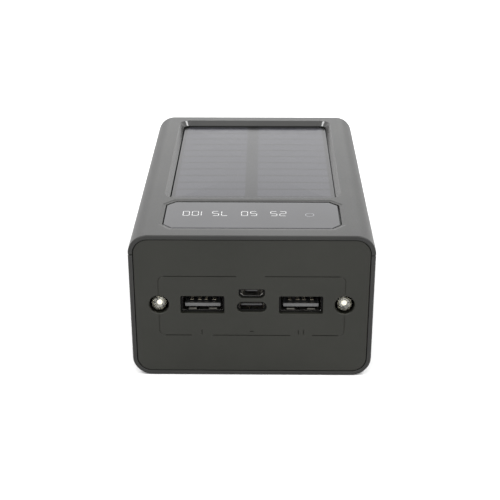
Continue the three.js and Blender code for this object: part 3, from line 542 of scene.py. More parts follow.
def zoneShell(material):
    # roughness and shine = their plain value x (1 + the sum over the zones of mask x (share - 1))
    tree = material.node_tree
    shader = tree.nodes["Principled BSDF"]
    split = tree.nodes.new("ShaderNodeSeparateXYZ")
    tree.links.new(tree.nodes.new("ShaderNodeTexCoord").outputs["Object"], split.inputs["Vector"])
    fromMiddle = calc(tree, "ABSOLUTE", split.outputs["X"], 0.0)
    side = between(tree, fromMiddle, *shellZones["slopeX"])
    middle = calc(tree, "LESS_THAN", fromMiddle, shellZones["slopeX"][0] * mm)
    deepest, highest = shellZones["depth"]
    sunk = between(tree, split.outputs["Z"], caseTop + deepest, caseTop + highest)
    along = calc(tree, "MULTIPLY", sunk, between(tree, split.outputs["Y"], *shellZones["slopeY"]))
    behind = calc(tree, "MULTIPLY", sunk, between(tree, split.outputs["Y"], *shellZones["cornerY"]))
    masks = {
        "slope": calc(tree, "MULTIPLY", side, along),
        "corner": calc(tree, "MULTIPLY", side, behind),
        "back": calc(tree, "MULTIPLY", middle, behind),
        "rim": calc(tree, "LESS_THAN", split.outputs["Y"], (shellZones["rimDepth"] - halfLength) * mm),
    }
    rough = 1.0
    shine = 1.0
    for zone, mask in masks.items():
        roughShare, shineShare = shellZones[zone]
        rough = calc(tree, "ADD", rough, calc(tree, "MULTIPLY", mask, roughShare - 1.0))
        shine = calc(tree, "ADD", shine, calc(tree, "MULTIPLY", mask, shineShare - 1.0))
    plain = shader.inputs["Roughness"].links[0].from_socket
    level = shader.inputs["Specular IOR Level"]
    tree.links.new(calc(tree, "MULTIPLY", plain, rough), shader.inputs["Roughness"])
    tree.links.new(calc(tree, "MULTIPLY", shine, level.default_value), level)


finishes["clearEpoxy"] = lensMaterial()
zoneShell(finishes["shellPlastic"])
print("materials made")


# Case: a tube with rounded long edges, split into a cover and a lower shell

case = {
    "corner": 6.2,
    "frontEdge": 0.5,  # rounding of the front rim
    "backEdge": (0.8, 2.2),  # the back rim comes in by the first over the length of the second
    "mouthInset": 1.4,
    "mouthDepth": 1.6,
    "mouthSoft": 0.18,  # radius of the lip's edge
    "mouthLead": 0.4,  # how far outside the end the mouth's cut begins
    "grooveInset": 0.9,
    "grooveEnd": 3.0,
    "wall": 2.0,
    "coverFloor": 44.0,
    "seamGap": 0.09,
    "seamHalf": 0.2,  # half the height of the V at the surface
    "seamDepth": 0.35,
    "seamLead": 0.5,  # how far outside the surface the V begins
    "planCorner": 0.4,
    "overlap": 0.1,  # how far the hollow runs into the end grooves
    "margin": 5.0,  # how far a cutting block reaches past the case
    "arcSteps": 20,
}
sectionAt = growingRound(halfWidth, caseMiddle, case["corner"], case["arcSteps"])
centreLine = (0, 0, caseMiddle)


def caseSolid(name):
    # the outer surface: rounded section, with its end edges turned over a small radius
    edge = case["frontEdge"]
    inward, along = case["backEdge"]
    front = arcProfile(-edge, -halfLength + edge, edge, -90, 0)
    back = [(-inward * (1 - math.cos(a)), halfLength - along * (1 - math.sin(a)))
            for a in np.linspace(0, math.pi / 2, 9)]
    return carried(name, sectionAt, front + back, backwards, centreLine)


def mouthTool(direction):
    # what the end opening takes away: a lip with a softened edge, then the wider groove
    inset = -case["mouthInset"]
    soft = case["mouthSoft"]
    lead = case["mouthLead"]
    end = direction * halfLength
    step = -direction
    profile = [(inset + soft + lead, end - step * lead)]
    profile += [(inset + soft * (1 - math.sin(a)), end + step * soft * (1 - math.cos(a)))
                for a in np.linspace(0, math.pi / 2, 5)]
    profile += [
        (inset, end + step * case["mouthDepth"]),
        (-case["grooveInset"], end + step * case["mouthDepth"]),
        (-case["grooveInset"], end + step * case["grooveEnd"]),
    ]
    return carried("tool", sectionAt, profile, backwards, centreLine)


def seamTool():
    # a narrow V all round the case at the level of the seam
    half = case["seamHalf"]
    lead = case["seamLead"]
    profile = [(lead, -half - lead), (lead, half + lead), (-case["seamDepth"], 0.0)]
    loop = growingRound(halfWidth, halfLength, case["planCorner"], 6)
    return carried("tool", loop, profile, upwards, (0, 0, seamLevel), ring=True)


recess = {
    "halfWidth": 29.1,
    "front": -26.9,
    "back": 52.0,
    "corner": 3.8,
    "bevel": 1.6,
    "bevelDepth": 1.65,
    "floor": 45.3,
    "lip": 0.3,
    "lipStart": 0.25,  # angle at which the lip's round begins
    "lead": (1.4, 0.35),  # (out, up) from the lip, where the cut begins
    "foot": (0.06, 0.04),  # the soft turn from the slope to the straight side
}


def recessTool():
    # rounded lip, sloping side, then straight down to the floor
    lip = recess["lip"]
    slope = math.atan2(recess["bevelDepth"], recess["bevel"])
    turnTo = np.linspace(recess["lipStart"], slope, 5)
    out, up = recess["lead"]
    profile = [(out, caseTop + up)]
    profile += [(lip * (0.5 - math.sin(a)), caseTop - lip * (1 - math.cos(a))) for a in turnTo]
    before, after = recess["foot"]
    level = caseTop - recess["bevelDepth"]
    profile += [
        (-recess["bevel"] + before, level + before),
        (-recess["bevel"], level - after),
        (-recess["bevel"], recess["floor"]),
    ]
    middle = (recess["front"] + recess["back"]) / 2
    half = (recess["back"] - recess["front"]) / 2
    loop = growingRound(recess["halfWidth"], half, recess["corner"], 12)
    return carried("tool", loop, profile, upwards, (0, middle, 0))


windowLow, windowHigh = nodeBox("display_window")
windowMiddle = (windowLow[1] + windowHigh[1]) / 2
window = {
    "chamfer": 2.7,
    "cornerRadius": 0.7,
    "gap": 0.4,
    "band": 1.15,
    "bandDepth": 0.15,
    "bandSlope": 0.3,
    "bandFoot": (0.1, 0.02),  # (in, up) of the soft turn from that slope to the flat band
    "rimSteps": [(1.0, 0.2), (0.1, 0.005), (-0.05, -0.03)],  # (out, up) from the band's outer edge
    "gapSteps": [(0.15, 0.0), (0.04, -0.05), (0.0, -0.15)],  # (out, up) from the band's inner edge
    "under": 0.05,
    "shift": (-0.1, -0.16),  # the pane sits a little off the middle of its seat
    "edge": 0.28,
    "edgeStart": 0.3,  # angle at which the pane's edge begins to turn in
}


def windowLoop(steps=4):
    # a rectangle with its corners cut off at 45 degrees
    x, y, c = windowHigh[0], (windowHigh[1] - windowLow[1]) / 2, window["chamfer"]
    points = [(-x + c, -y), (x - c, -y), (x, -y + c), (x, y - c),
              (x - c, y), (-x + c, y), (-x, y - c), (-x, -y + c)]
    return growingCorners(points, window["cornerRadius"], steps)


def windowTool():
    # a shallow step down to a flat band, then a gap round the pane with a softened edge
    gap = window["gap"]
    outer = gap + window["band"]
    slope = window["bandSlope"]
    level = caseTop - window["bandDepth"]
    profile = [(outer + out, caseTop + up) for out, up in window["rimSteps"]]
    inward, up = window["bandFoot"]
    profile += [(outer - slope, level + up), (outer - slope - inward, level)]
    profile += [(gap + out, level + up) for out, up in window["gapSteps"]]
    profile.append((gap, windowLow[2] - window["under"]))
    return carried("tool", windowLoop(), profile, upwards, (0, windowMiddle, 0))


def coverShell():
    # the case above the seam, less the hollow, the end mouths, the recess and the window's seat
    shell = caseSolid("cover_shell")
    margin = case["margin"]
    wide = halfWidth + margin
    long = halfLength + margin
    inner = halfWidth - case["wall"]
    span = halfLength - case["grooveEnd"] + case["overlap"]
    split = seamLevel + case["seamGap"] / 2
    under = blockOf("tool", (-wide, -long, -margin), (wide, long, split))
    hollow = blockOf("tool", (-inner, -span, 0), (inner, span, case["coverFloor"]))
    carve(shell, under, hollow, mouthTool(-1), mouthTool(1), recessTool(), windowTool(), seamTool())
    return finished(shell, finishes["shellPlastic"], "shell_plastic", "top_cover")


buttonLow, buttonHigh = nodeBox("power_button")
buttonY = (buttonLow[1] + buttonHigh[1]) / 2
buttonZ = (buttonLow[2] + buttonHigh[2]) / 2
button = {
    "length": 11.0,
    "height": 4.6,
    "gap": 0.15,
    "flange": (13.0, 6.4, 0.8),
    "stem": (3.0, 2.0),
    "stemCorner": 0.3,
    "stemEdge": 0.1,
    "overlap": 0.2,  # how far the cap and the stem run into the flange
    "dish": (15.0, 8.6, 0.6),
    "dishSlope": 0.5,
    "dishFoot": (0.18, 0.12),  # (in, up) of the soft turn from the slope to the dish's floor
    "dishSteps": [(0.9, 0.25), (0.12, 0.012), (-0.1, -0.1)],  # (outwards, up) from the side's surface
    "holeSteps": [(0.35, 0.2), (0.12, 0.0), (0.0, -0.12)],  # (outwards, up) from the dish's floor
    "holeDepth": 6.0,
    "crown": 0.35,
    "crownRound": 0.9,  # share of the crown's height that lies in its rounded edge
    "ridge": 0.4,  # half the width of the flat along the middle of the cap
    "soft": 0.05,  # radius of the flange's edges
}


def stadiumAt(length, height, steps=16):
    # a rectangle with half-round ends
    return growingRound(length / 2, height / 2, height / 2 - 0.001, steps)


def dishTool():
    # the finger dish: a flat pad with a sloping rim that melts into the side
    length, height, depth = button["dish"]
    slope = button["dishSlope"]
    profile = [(out, halfWidth + up) for out, up in button["dishSteps"]]
    inward, up = button["dishFoot"]
    profile += [(-slope, halfWidth - depth + up), (-slope - inward, halfWidth - depth)]
    return carried("tool", stadiumAt(length, height), profile, sidewards, (0, buttonY, buttonZ))


def buttonHoleTool():
    # the button's outline plus a gap, carried inwards from a softened edge
    gap = button["gap"]
    floor = halfWidth - button["dish"][2]
    profile = [(gap + out, floor + up) for out, up in button["holeSteps"]]
    profile.append((gap, halfWidth - button["holeDepth"]))
    loop = stadiumAt(button["length"], button["height"])
    return carried("tool", loop, profile, sidewards, (0, buttonY, buttonZ))


def lowerShell():
    # the case below the seam, less the hollow, the end mouths, the dish and the button's hole
    shell = caseSolid("lower_shell")
    margin = case["margin"]
    wide = halfWidth + margin
    long = halfLength + margin
    split = seamLevel - case["seamGap"] / 2
    above = blockOf("tool", (-wide, -long, split), (wide, long, caseTop + margin))
    wall = -case["wall"]
    span = halfLength - case["grooveEnd"] + case["overlap"]
    hollow = carried("tool", sectionAt, [(wall, -span), (wall, span)], backwards, centreLine)
    carve(shell, above, hollow, mouthTool(-1), mouthTool(1), seamTool(), dishTool(), buttonHoleTool())
    return finished(shell, finishes["shellPlastic"], "shell_plastic", "lower_case")


coverShell()
lowerShell()
print("case made")


# Power button: a crowned cap with a flange behind the wall and a stem to the switch

def powerButton():
    # the cap comes in by crown x (1 - cos) as it rises by crown x sin x crownRound, a quarter of an oval
    loop = stadiumAt(button["length"], button["height"])
    face = buttonHigh[0]
    crown = button["crown"]
    flangeLength, flangeHeight, flangeDepth = button["flange"]
    flangeOuter = halfWidth - case["wall"] - button["gap"]
    profile = [(0, flangeOuter - button["overlap"])]
    profile += [(-crown + crown * math.cos(a), face - crown + crown * math.sin(a) * button["crownRound"])
                for a in np.linspace(0, math.pi / 2, 7)]
    profile.append((-button["height"] / 2 + button["ridge"], face))
    place = (0, buttonY, buttonZ)
    cap = carried("cap", loop, profile, sidewards, place)
    soft = button["soft"]
    flangeInner = flangeOuter - flangeDepth
    flangeLoop = stadiumAt(flangeLength, flangeHeight)
    flangeProfile = [(-soft, flangeInner), (0, flangeInner + soft),
                     (0, flangeOuter - soft), (-soft, flangeOuter)]
    flange = carried("flange", flangeLoop, flangeProfile, sidewards, place)
    stemLength, stemHeight = button["stem"]
    stemLoop = growingRound(stemLength / 2, stemHeight / 2, button["stemCorner"], 4)
    edge = button["stemEdge"]
    stemEnd = flangeInner + button["overlap"]
    stemProfile = [(-edge, buttonLow[0]), (0, buttonLow[0] + edge), (0, stemEnd)]
    stem = carried("stem", stemLoop, stemProfile, sidewards, place)
    whole = combine(cap, "UNION", flange, stem)
    whole.name = "power_button_cap"
    return finished(whole, finishes["buttonPlastic"], "button_plastic", "power_button", body="button")


powerButton()
print("button made")


# End plates

plate = {
    "corner": 4.7,
    "edge": 0.2,
    "faceInset": 0.5,  # how much smaller the face is than the flange's node, on each side
    "flangeInset": 1.05,
    "flangeStart": 1.55,
    "socketCut": (13.7, 6.1, 0.5),
    "reversibleCut": (9.3, 3.6),
    "microCut": (8.1, 3.1),
    "microTaper": 1.0,
    "lipRound": 0.16,
    "lipStart": 0.2,  # angle at which the lip's round begins
    "lipLead": (0.5, 0.45),  # (out, forwards) from the lip, where the cut begins
    "through": 6.0,
    # the rings behind the openings are painted shade: near black, over the sockets' rims
    "shadeWidth": 0.56,
    "shadeGap": 0.01,
    "shadeAlong": (-0.25, -0.03),  # from the shell's mouth
    "torchHole": 3.08,
    "torchRing": 0.3,
    "ringSteps": [(0.6, -0.25), (0.08, -0.012), (-0.05, 0.06)],  # (out, along) from the ring's outer edge
    "ringFoot": [(0.04, -0.02), (0, 0.06)],  # (out, along) from its inner edge
    "lineWidth": 0.2,
    "lineFoot": 0.055,  # half the width of an engraved line at its bottom
    "lineSoft": (0.05, 0.02),  # (out, in) of the softened edge of a line
    "lineLead": (0.14, 0.2),  # (out, forwards) from the line's edge, where the cut begins
    "lineDepth": 0.25,
    "sideDepth": 0.1,
    "frameHalfWidth": 29.05,
    "frameTop": 9.95,
    "frameBottom": -10.75,
    "frameCorner": 1.8,
    "topBreak": (-4.8, 4.1),
    "bottomBreaks": (-19.0, -12.3, 12.2, 19.0),
    "bend": (0.5, 0.2),  # where the short straights that end a side line begin and stop, from its corner
    "strokes": (-15.7, 14.7, 16.3),  # the X of each small upright mark
    "strokeRise": 0.4,  # from the frame's lower line
    "strokeHeight": 1.5,
    "dash": (0.6, 1.0),  # half the length of the level mark, and its height above the strokes' feet
}
shellLeftLow = nodeBox("usb_a_shell_left")[0]
shellRightLow, shellRightHigh = nodeBox("usb_a_shell_right")
reversibleLow, reversibleHigh = nodeBox("usb_c_shell")
microLow, microHigh = nodeBox("micro_usb_shell")
torchLow, torchHigh = nodeBox("torch_led_right")
socketX = (shellRightLow[0] + shellRightHigh[0]) / 2
socketZ = (shellRightLow[2] + shellRightHigh[2]) / 2
reversibleZ = (reversibleLow[2] + reversibleHigh[2]) / 2
microZ = (microLow[2] + microHigh[2]) / 2
torchX = (torchLow[0] + torchHigh[0]) / 2
torchZ = (torchLow[2] + torchHigh[2]) / 2


def plateSolid(name, low, high, direction):
    # a plate with a softened edge, stepping out to the flange that sits in the groove
    inset = plate["faceInset"]
    outer = growingRound(high[0] - inset, (high[2] - low[2]) / 2 - inset, plate["corner"], 16)
    face = low[1] if direction > 0 else high[1]
    edge = plate["edge"]
    depth = high[1] - low[1]
    angle = np.linspace(0, math.pi / 2, 5)
    steps = [(-edge * (1 - math.sin(a)), edge * (1 - math.cos(a))) for a in angle] + [(0, depth)]
    profile = [(grow, face + direction * along) for grow, along in steps]
    body = carried(name, outer, profile, backwards, (0, 0, caseMiddle))
    inset = plate["flangeInset"]
    rimLoop = growingRound(halfWidth - inset, caseMiddle - inset, case["corner"] - inset, 16)
    rimProfile = [(0, face + direction * plate["flangeStart"]), (0, face + direction * depth)]
    rim = carried("rim", rimLoop, rimProfile, backwards, (0, 0, caseMiddle))
    return combine(body, "UNION", rim)


def throughTool(loop, centre):
    # a hole with its front edge rounded over
    r = plate["lipRound"]
    out, forwards = plate["lipLead"]
    profile = [(r + out, plateFace - forwards)]
    profile += [(r * (1 - math.sin(a)), plateFace + r * (1 - math.cos(a)))
                for a in np.linspace(plate["lipStart"], math.pi / 2, 5)]
    profile.append((0, plateFace + plate["through"]))
    return carried("tool", loop, profile, backwards, centre)


def torchHoleTool(x):
    # a straight round hole with a chamfered ring at its mouth
    r = plate["torchHole"]
    ring = plate["torchRing"]
    profile = [(ring + out, plateFace + along) for out, along in plate["ringSteps"]]
    profile += [(out, plateFace + ring + along) for out, along in plate["ringFoot"]]
    profile.append((0, plateFace + plate["through"]))
    return carried("tool", circleLoop(r, 64), profile, backwards, (x, 0, torchZ))


def lineTool(points, depth=plate["lineDepth"]):
    # an engraved line: a shallow trough with leaning sides, carried along points
    half = plate["lineWidth"] / 2
    foot = plate["lineFoot"]
    soft, softDepth = plate["lineSoft"]
    lead, forwards = plate["lineLead"]
    section = [(-half - lead, -forwards), (half + lead, -forwards), (half + soft, softDepth),
               (foot, depth), (-foot, depth), (-half - soft, softDepth)]
    return swept("tool", points, section, backwards, (0, plateFace, torchZ))


def straight(start, end, count=2):
    # equal steps from start to end
    return np.linspace(start, end, count)


def quarter(centre, radius, start, end, steps=8):
    # centre + radius x (cos, sin), between two angles in degrees
    angle = np.radians(np.linspace(start, end, steps + 1))
    return np.array(centre) + radius * np.stack([np.cos(angle), np.sin(angle)], -1)


def frameLines():
    # the engraved frame: straight lines above and below, and a fainter bent one at each side
    x = plate["frameHalfWidth"]
    top = plate["frameTop"]
    bottom = plate["frameBottom"]
    r = plate["frameCorner"]
    topLeft, topRight = plate["topBreak"]
    outLeft, inLeft, inRight, outRight = plate["bottomBreaks"]
    far, near = plate["bend"]
    spans = [(topRight, x - r, top), (-x + r, topLeft, top), (-x + r, outLeft, bottom),
             (inLeft, inRight, bottom), (outRight, x - r, bottom)]
    lines = [lineTool(straight((left, level), (right, level))) for left, right, level in spans]
    for side in (-1, 1):
        bend = np.vstack([
            straight((x - r - far, top), (x - r - near, top)),
            quarter((x - r, top - r), r, 90, 0),
            quarter((x - r, bottom + r), r, 0, -90),
            straight((x - r - near, bottom), (x - r - far, bottom)),
        ])
        lines.append(lineTool(bend * (side, 1), plate["sideDepth"]))
    return lines


def markTools():
    # small upright strokes in the breaks, in place of any lettering
    bottom = plate["frameBottom"] + plate["strokeRise"]
    top = bottom + plate["strokeHeight"]
    half, rise = plate["dash"]
    marks = [lineTool(straight((x, bottom), (x, top))) for x in plate["strokes"]]
    marks.append(lineTool(straight((-half, bottom + rise), (half, bottom + rise))))
    return marks


def microLoop(width, height, steps=3, radius=0.25):
    # a rectangle with its two lower corners cut off
    x, y, t = width / 2, height / 2, plate["microTaper"]
    points = [(-x + t, -y), (x - t, -y), (x, -y + t), (x, y), (-x, y), (-x, -y + t)]
    return growingCorners(points, radius, steps)


def frontPlate():
    # the plate less its openings and engraved lines, with a near-black ring behind the edge of each
    # opening: painted shade that hides the socket's rim in the dark of the opening
    body = plateSolid("front_plate", plateLow, plateHigh, 1)
    width, height, radius = plate["socketCut"]
    large = growingRound(width / 2, height / 2, radius, 5)
    openings = [
        ("left", large, (-socketX, 0, socketZ), shellLeftLow[1]),
        ("right", large, (socketX, 0, socketZ), shellRightLow[1]),
        ("usb_c", stadiumAt(*plate["reversibleCut"]), (0, 0, reversibleZ), reversibleLow[1]),
        ("micro", microLoop(*plate["microCut"]), (0, 0, microZ), microLow[1]),
    ]
    tools = [throughTool(loop, centre) for label, loop, centre, mouth in openings]
    outer, inner = -plate["shadeGap"], -plate["shadeWidth"]
    for label, loop, centre, mouth in openings:
        start, end = mouth + np.array(plate["shadeAlong"])
        profile = [(outer, start), (inner, start), (inner, end), (outer, end)]
        # each ring is near black, painted shade where the opening's own shadow falls on the socket's rim
        shadeRing = carried("shade_ring_" + label, loop, profile, backwards, centre, ring=True)
        finished(shadeRing, finishes["shadeBlack"], "dark_insulator")
    tools += frameLines() + markTools()
    tools += [torchHoleTool(side * torchX) for side in (-1, 1)]
    carve(body, *tools)
    return finished(body, finishes["panelPlastic"], "panel_plastic", "front_panel")


def rearPlate():
    # the same plate without openings
    low, high = nodeBox("rear_panel")
    body = plateSolid("rear_plate", low, high, -1)
    return finished(body, finishes["panelPlastic"], "panel_plastic", "rear_panel")


frontPlate()
rearPlate()
print("end plates made")


# Gauge window with its printed figures

def gaugeWindow():
    # the pane's outline, which comes in by 1 - cos as it rises by sin at the top edge
    edge = window["edge"]
    top = windowHigh[2]
    profile = [(0, windowLow[2]), (0, top - edge)]
    angle = np.linspace(window["edgeStart"], math.pi / 2, 4)
    profile += [(-edge * (1 - math.cos(a)), top - edge + edge * math.sin(a)) for a in angle]
    x, y = window["shift"]
    pane = carried("gauge_window", windowLoop(), profile, upwards, (x, windowMiddle + y, 0))
    return finished(pane, finishes["windowPlastic"], "window_plastic", "display_window")


figures = {
    "centreY": -40.0,
    "height": 3.4,
    "width": 1.92,
    "gap": 0.96,
    "stroke": 0.23,
    "cut": 0.1,
    "clearance": 0.003,  # between the pane and the print
    "lift": 0.02,
    "words": {"100": -16.15, "75": -7.8, "50": 1.4, "25": 10.66},  # the right-hand end of each
    "sign": (18.15, -40.9),
    "signRadius": 1.3,
    "signStroke": 0.24,
}
bars = {"0": "abcdef", "1": "bc", "2": "abged", "5": "afgcd", "7": "abc"}


def barOutline(bar, width, height, stroke, cut):
    # one bar of a seven-bar figure: a strip with pointed ends between two corners of the figure
    corners = {"a": ((0, height), (width, height)), "b": ((width, height), (width, height / 2)),
               "c": ((width, height / 2), (width, 0)), "d": ((0, 0), (width, 0)),
               "e": ((0, height / 2), (0, 0)), "f": ((0, height), (0, height / 2)),
               "g": ((0, height / 2), (width, height / 2))}
    start, end = np.array(corners[bar], float)
    direction = (end - start) / np.linalg.norm(end - start)
    across = np.array([-direction[1], direction[0]]) * stroke / 2
    inward = direction * stroke / 2
    start = start + direction * cut
    end = end - direction * cut
    return np.array([start, start + inward - across, end - inward - across, end, end - inward + across,
                     start + inward + across])


def flatPrism(name, outline, level, thickness):
    # an outline at one level and again above it
    outline = np.array(outline)
    count = len(outline)
    low = np.column_stack([outline, np.full(count, level)])
    high = np.column_stack([outline, np.full(count, level + thickness)])
    return pieceFrom(name, np.vstack([low, high]), gridFaces(2, count) + endFaces(2, count))


def wordPieces(word, right):
    # the figures read the right way up from the rear end, so each is turned half round
    width, height = figures["width"], figures["height"]
    cursor = right
    made = []
    for digit in word:
        reach = 0.0 if digit == "1" else width
        corner = np.array([cursor + (width - reach), figures["centreY"] + height / 2])
        for bar in bars[digit]:
            outline = barOutline(bar, width, height, figures["stroke"], figures["cut"])
            level = windowHigh[2] + figures["clearance"]
            made.append(flatPrism("bar", corner - outline, level, figures["lift"]))
        cursor -= reach + figures["gap"]
    return made


def gaugeFigures():
    # all bars of the four words in one piece
    made = []
    for word, right in figures["words"].items():
        made += wordPieces(word, right)
    piece = joined("gauge_figures", made)
    return finished(piece, finishes["digitInk"], "led_package")


def chargingSign():
    # a plain ring beside the figures
    half = figures["signStroke"] / 2
    low = windowHigh[2] + figures["clearance"]
    high = low + figures["lift"]
    x, y = figures["sign"]
    profile = [(-half, low), (half, low), (half, high), (-half, high)]
    loop = circleLoop(figures["signRadius"])
    piece = carried("charging_sign", loop, profile, upwards, (x, y, 0), ring=True)
    return finished(piece, finishes["iconInk"], "led_package")


gaugeWindow()
gaugeFigures()
chargingSign()
print("gauge made")


# Solar panel: a faintly domed clear film over two columns of cells

filmLow, filmHigh = nodeBox("solar_film")
film = {
    "corner": 3.0,
    "dome": 0.2,
    "edge": 0.16,
    "shift": 0.08,  # the film sits a little to the right of its node
    "columnGap": 4.2,
    "gapCentre": -0.6,
    "cellPitch": 6.33,
    "cellStart": 29.0,  # the Y of one of the gaps between cells
    "cellGap": 0.85,
    "cellDark": (0.014, 0.014, 0.019),
    "cellLight": (0.018, 0.018, 0.024),
    "gapTone": (0.002, 0.002, 0.003),
    "backTone": (0.003, 0.003, 0.004),
    "border": 1.4,
    "gloss": 0.335,
    "roughness": (0.13, 0.2),
    "cloudScale": 30,
    "rippleScale": 240,
    "ripple": (0.03, 0.00004),  # its strength and its height
    "edgeArc": (0.3, 1.3),  # angles between which the edge turns in
    "rings": 26,
    "ringFrom": 0.3,  # the first ring's distance from the edge
    "ringShort": 0.6,  # how far the last ring stops short of the middle
}


def filmMaterial():
    # strips of dark cell with a thin darker gap between each two, and a plain strip between the two columns
    material, tree, shader, place = newMaterial("solarFilm")
    split = tree.nodes.new("ShaderNodeSeparateXYZ")
    tree.links.new(place, split.inputs["Vector"])

    fromStart = calc(tree, "SUBTRACT", split.outputs["Y"], film["cellStart"] * mm)
    along = calc(tree, "PINGPONG", fromStart, film["cellPitch"] / 2 * mm)
    line = calc(tree, "LESS_THAN", along, film["cellGap"] / 2 * mm)
    fromCentre = calc(tree, "SUBTRACT", split.outputs["X"], film["gapCentre"] * mm)
    fromGap = calc(tree, "ABSOLUTE", fromCentre, 0.0)
    inGap = calc(tree, "LESS_THAN", fromGap, film["columnGap"] / 2 * mm)
    fromMiddle = calc(tree, "ABSOLUTE", split.outputs["X"], 0.0)
    inside = calc(tree, "LESS_THAN", fromMiddle, (filmHigh[0] - film["border"]) * mm)
    onCell = calc(tree, "MULTIPLY", calc(tree, "SUBTRACT", 1.0, inGap), inside)
    cloud = grain(tree, place, film["cloudScale"])
    cellTone = tinted(tree, cloud, film["cellDark"], film["cellLight"])
    mixLine = tree.nodes.new("ShaderNodeMix")
    mixLine.data_type = "RGBA"
    mixLine.inputs["B"].default_value = (*film["gapTone"], 1)
    tree.links.new(cellTone, mixLine.inputs["A"])
    tree.links.new(calc(tree, "MULTIPLY", line, onCell), mixLine.inputs["Factor"])
    mixGap = tree.nodes.new("ShaderNodeMix")
    mixGap.data_type = "RGBA"
    mixGap.inputs["A"].default_value = (*film["backTone"], 1)
    tree.links.new(mixLine.outputs["Result"], mixGap.inputs["B"])
    tree.links.new(onCell, mixGap.inputs["Factor"])
    tree.links.new(mixGap.outputs["Result"], shader.inputs["Base Color"])
    ripple = grain(tree, place, film["rippleScale"])
    tree.links.new(spread(tree, ripple, *film["roughness"]), shader.inputs["Roughness"])
    bumped(tree, shader, ripple, *film["ripple"])
    shader.inputs["Specular IOR Level"].default_value = film["gloss"]
    return material


def solarFilm():
    # rings that close in on the middle, each higher by dome x (1 - (1 - its share of the way in) cubed)
    half = (filmHigh[1] - filmLow[1]) / 2
    loop = growingRound(filmHigh[0], half, film["corner"], 10)
    top = filmHigh[2]
    edge = film["edge"]
    reach = filmHigh[0] - film["ringShort"]
    profile = [(0, filmLow[2]), (0, top - edge)]
    angle = np.linspace(*film["edgeArc"], 4)
    profile += [(-edge * (1 - math.cos(a)), top - edge + edge * math.sin(a)) for a in angle]
    inward = np.linspace(film["ringFrom"], reach, film["rings"])
    profile += [(-d, top + film["dome"] * (1 - (1 - d / reach) ** 3)) for d in inward]
    middle = (filmLow[1] + filmHigh[1]) / 2
    piece = carried("solar_film_dome", loop, profile, upwards, (film["shift"], middle, 0))
    return finished(piece, filmMaterial(), "solar_film", "solar_film")


solarFilm()
print("solar panel made")


# Large sockets

socket = {
    "wall": 0.35,
    "corner": 0.5,
    "lip": 0.14,
    "tongueEdge": 0.18,
    "tongueHalf": 5.7,
    "tongueThickness": 1.25,
    "tongueCorner": 0.2,
    "contactGap": 0.05,  # between the tongue and the contacts' nodes
    "heelDepth": 3.4,
    "heelOver": 0.1,  # how far behind the tongue's end the heel reaches
    "barInset": (0.15, 0.06),  # how much narrower and lower the tongue's pale front edge is, on each side
    "barCorner": 0.12,
    "barSteps": [(-0.08, -0.12), (0, -0.05), (0, 0.1)],  # (out, along) from the tongue's front
    "fingerX": (-3.2, 3.2),
    "fingerWidth": 2.4,
    "fingerThickness": 0.2,
    "fingerSunk": 0.02,  # how far a leaf is let into the wall
    "fingerAlong": (0.9, 2.2, 3.6, 5.0, 6.4, 7.6, 8.4),  # steps behind the mouth
    "fingerRise": (0.02, 0.18, 0.45, 0.72, 0.75, 0.5, 0.3),  # from the wall, at each step
    "leafThickness": 0.15,
    "leafAlong": (0.8, 0.9, 1.0, 1.15, 1.3, 1.6, 2.0, 2.5, 3.0, 6.8),
    "leafRise": (0.72, 0.84, 0.93, 0.98, 1.0, 0.9, 0.65, 0.3, 0.0, 0.0),  # share of the leaf's full height
}


def cupProfile(front, back, wall, lip):
    # outer wall from the back, over the rounded lip, and in again to the inner back
    half = wall / 2
    angle = np.linspace(0, math.pi, 7)
    over = [(-half + half * math.cos(a), front + half - half * math.sin(a)) for a in angle]
    return [(-lip, back), (0, back - lip)] + over + [(-wall, back - wall)]


def roundedStart(edge, start):
    # a quarter circle from the end face out to the full outline: in by 1 - sin, along by 1 - cos
    angle = np.linspace(0, math.pi / 2, 4)
    return [(-edge * (1 - math.sin(a)), start + edge * (1 - math.cos(a))) for a in angle]


def springFinger(name, centre, up):
    # a leaf that leans into the socket and curls back at its tip
    rise = np.array(socket["fingerRise"]) * up
    half = socket["fingerWidth"] / 2
    return leafStrip(name, centre, socket["fingerAlong"], rise, half, socket["fingerThickness"] * up)


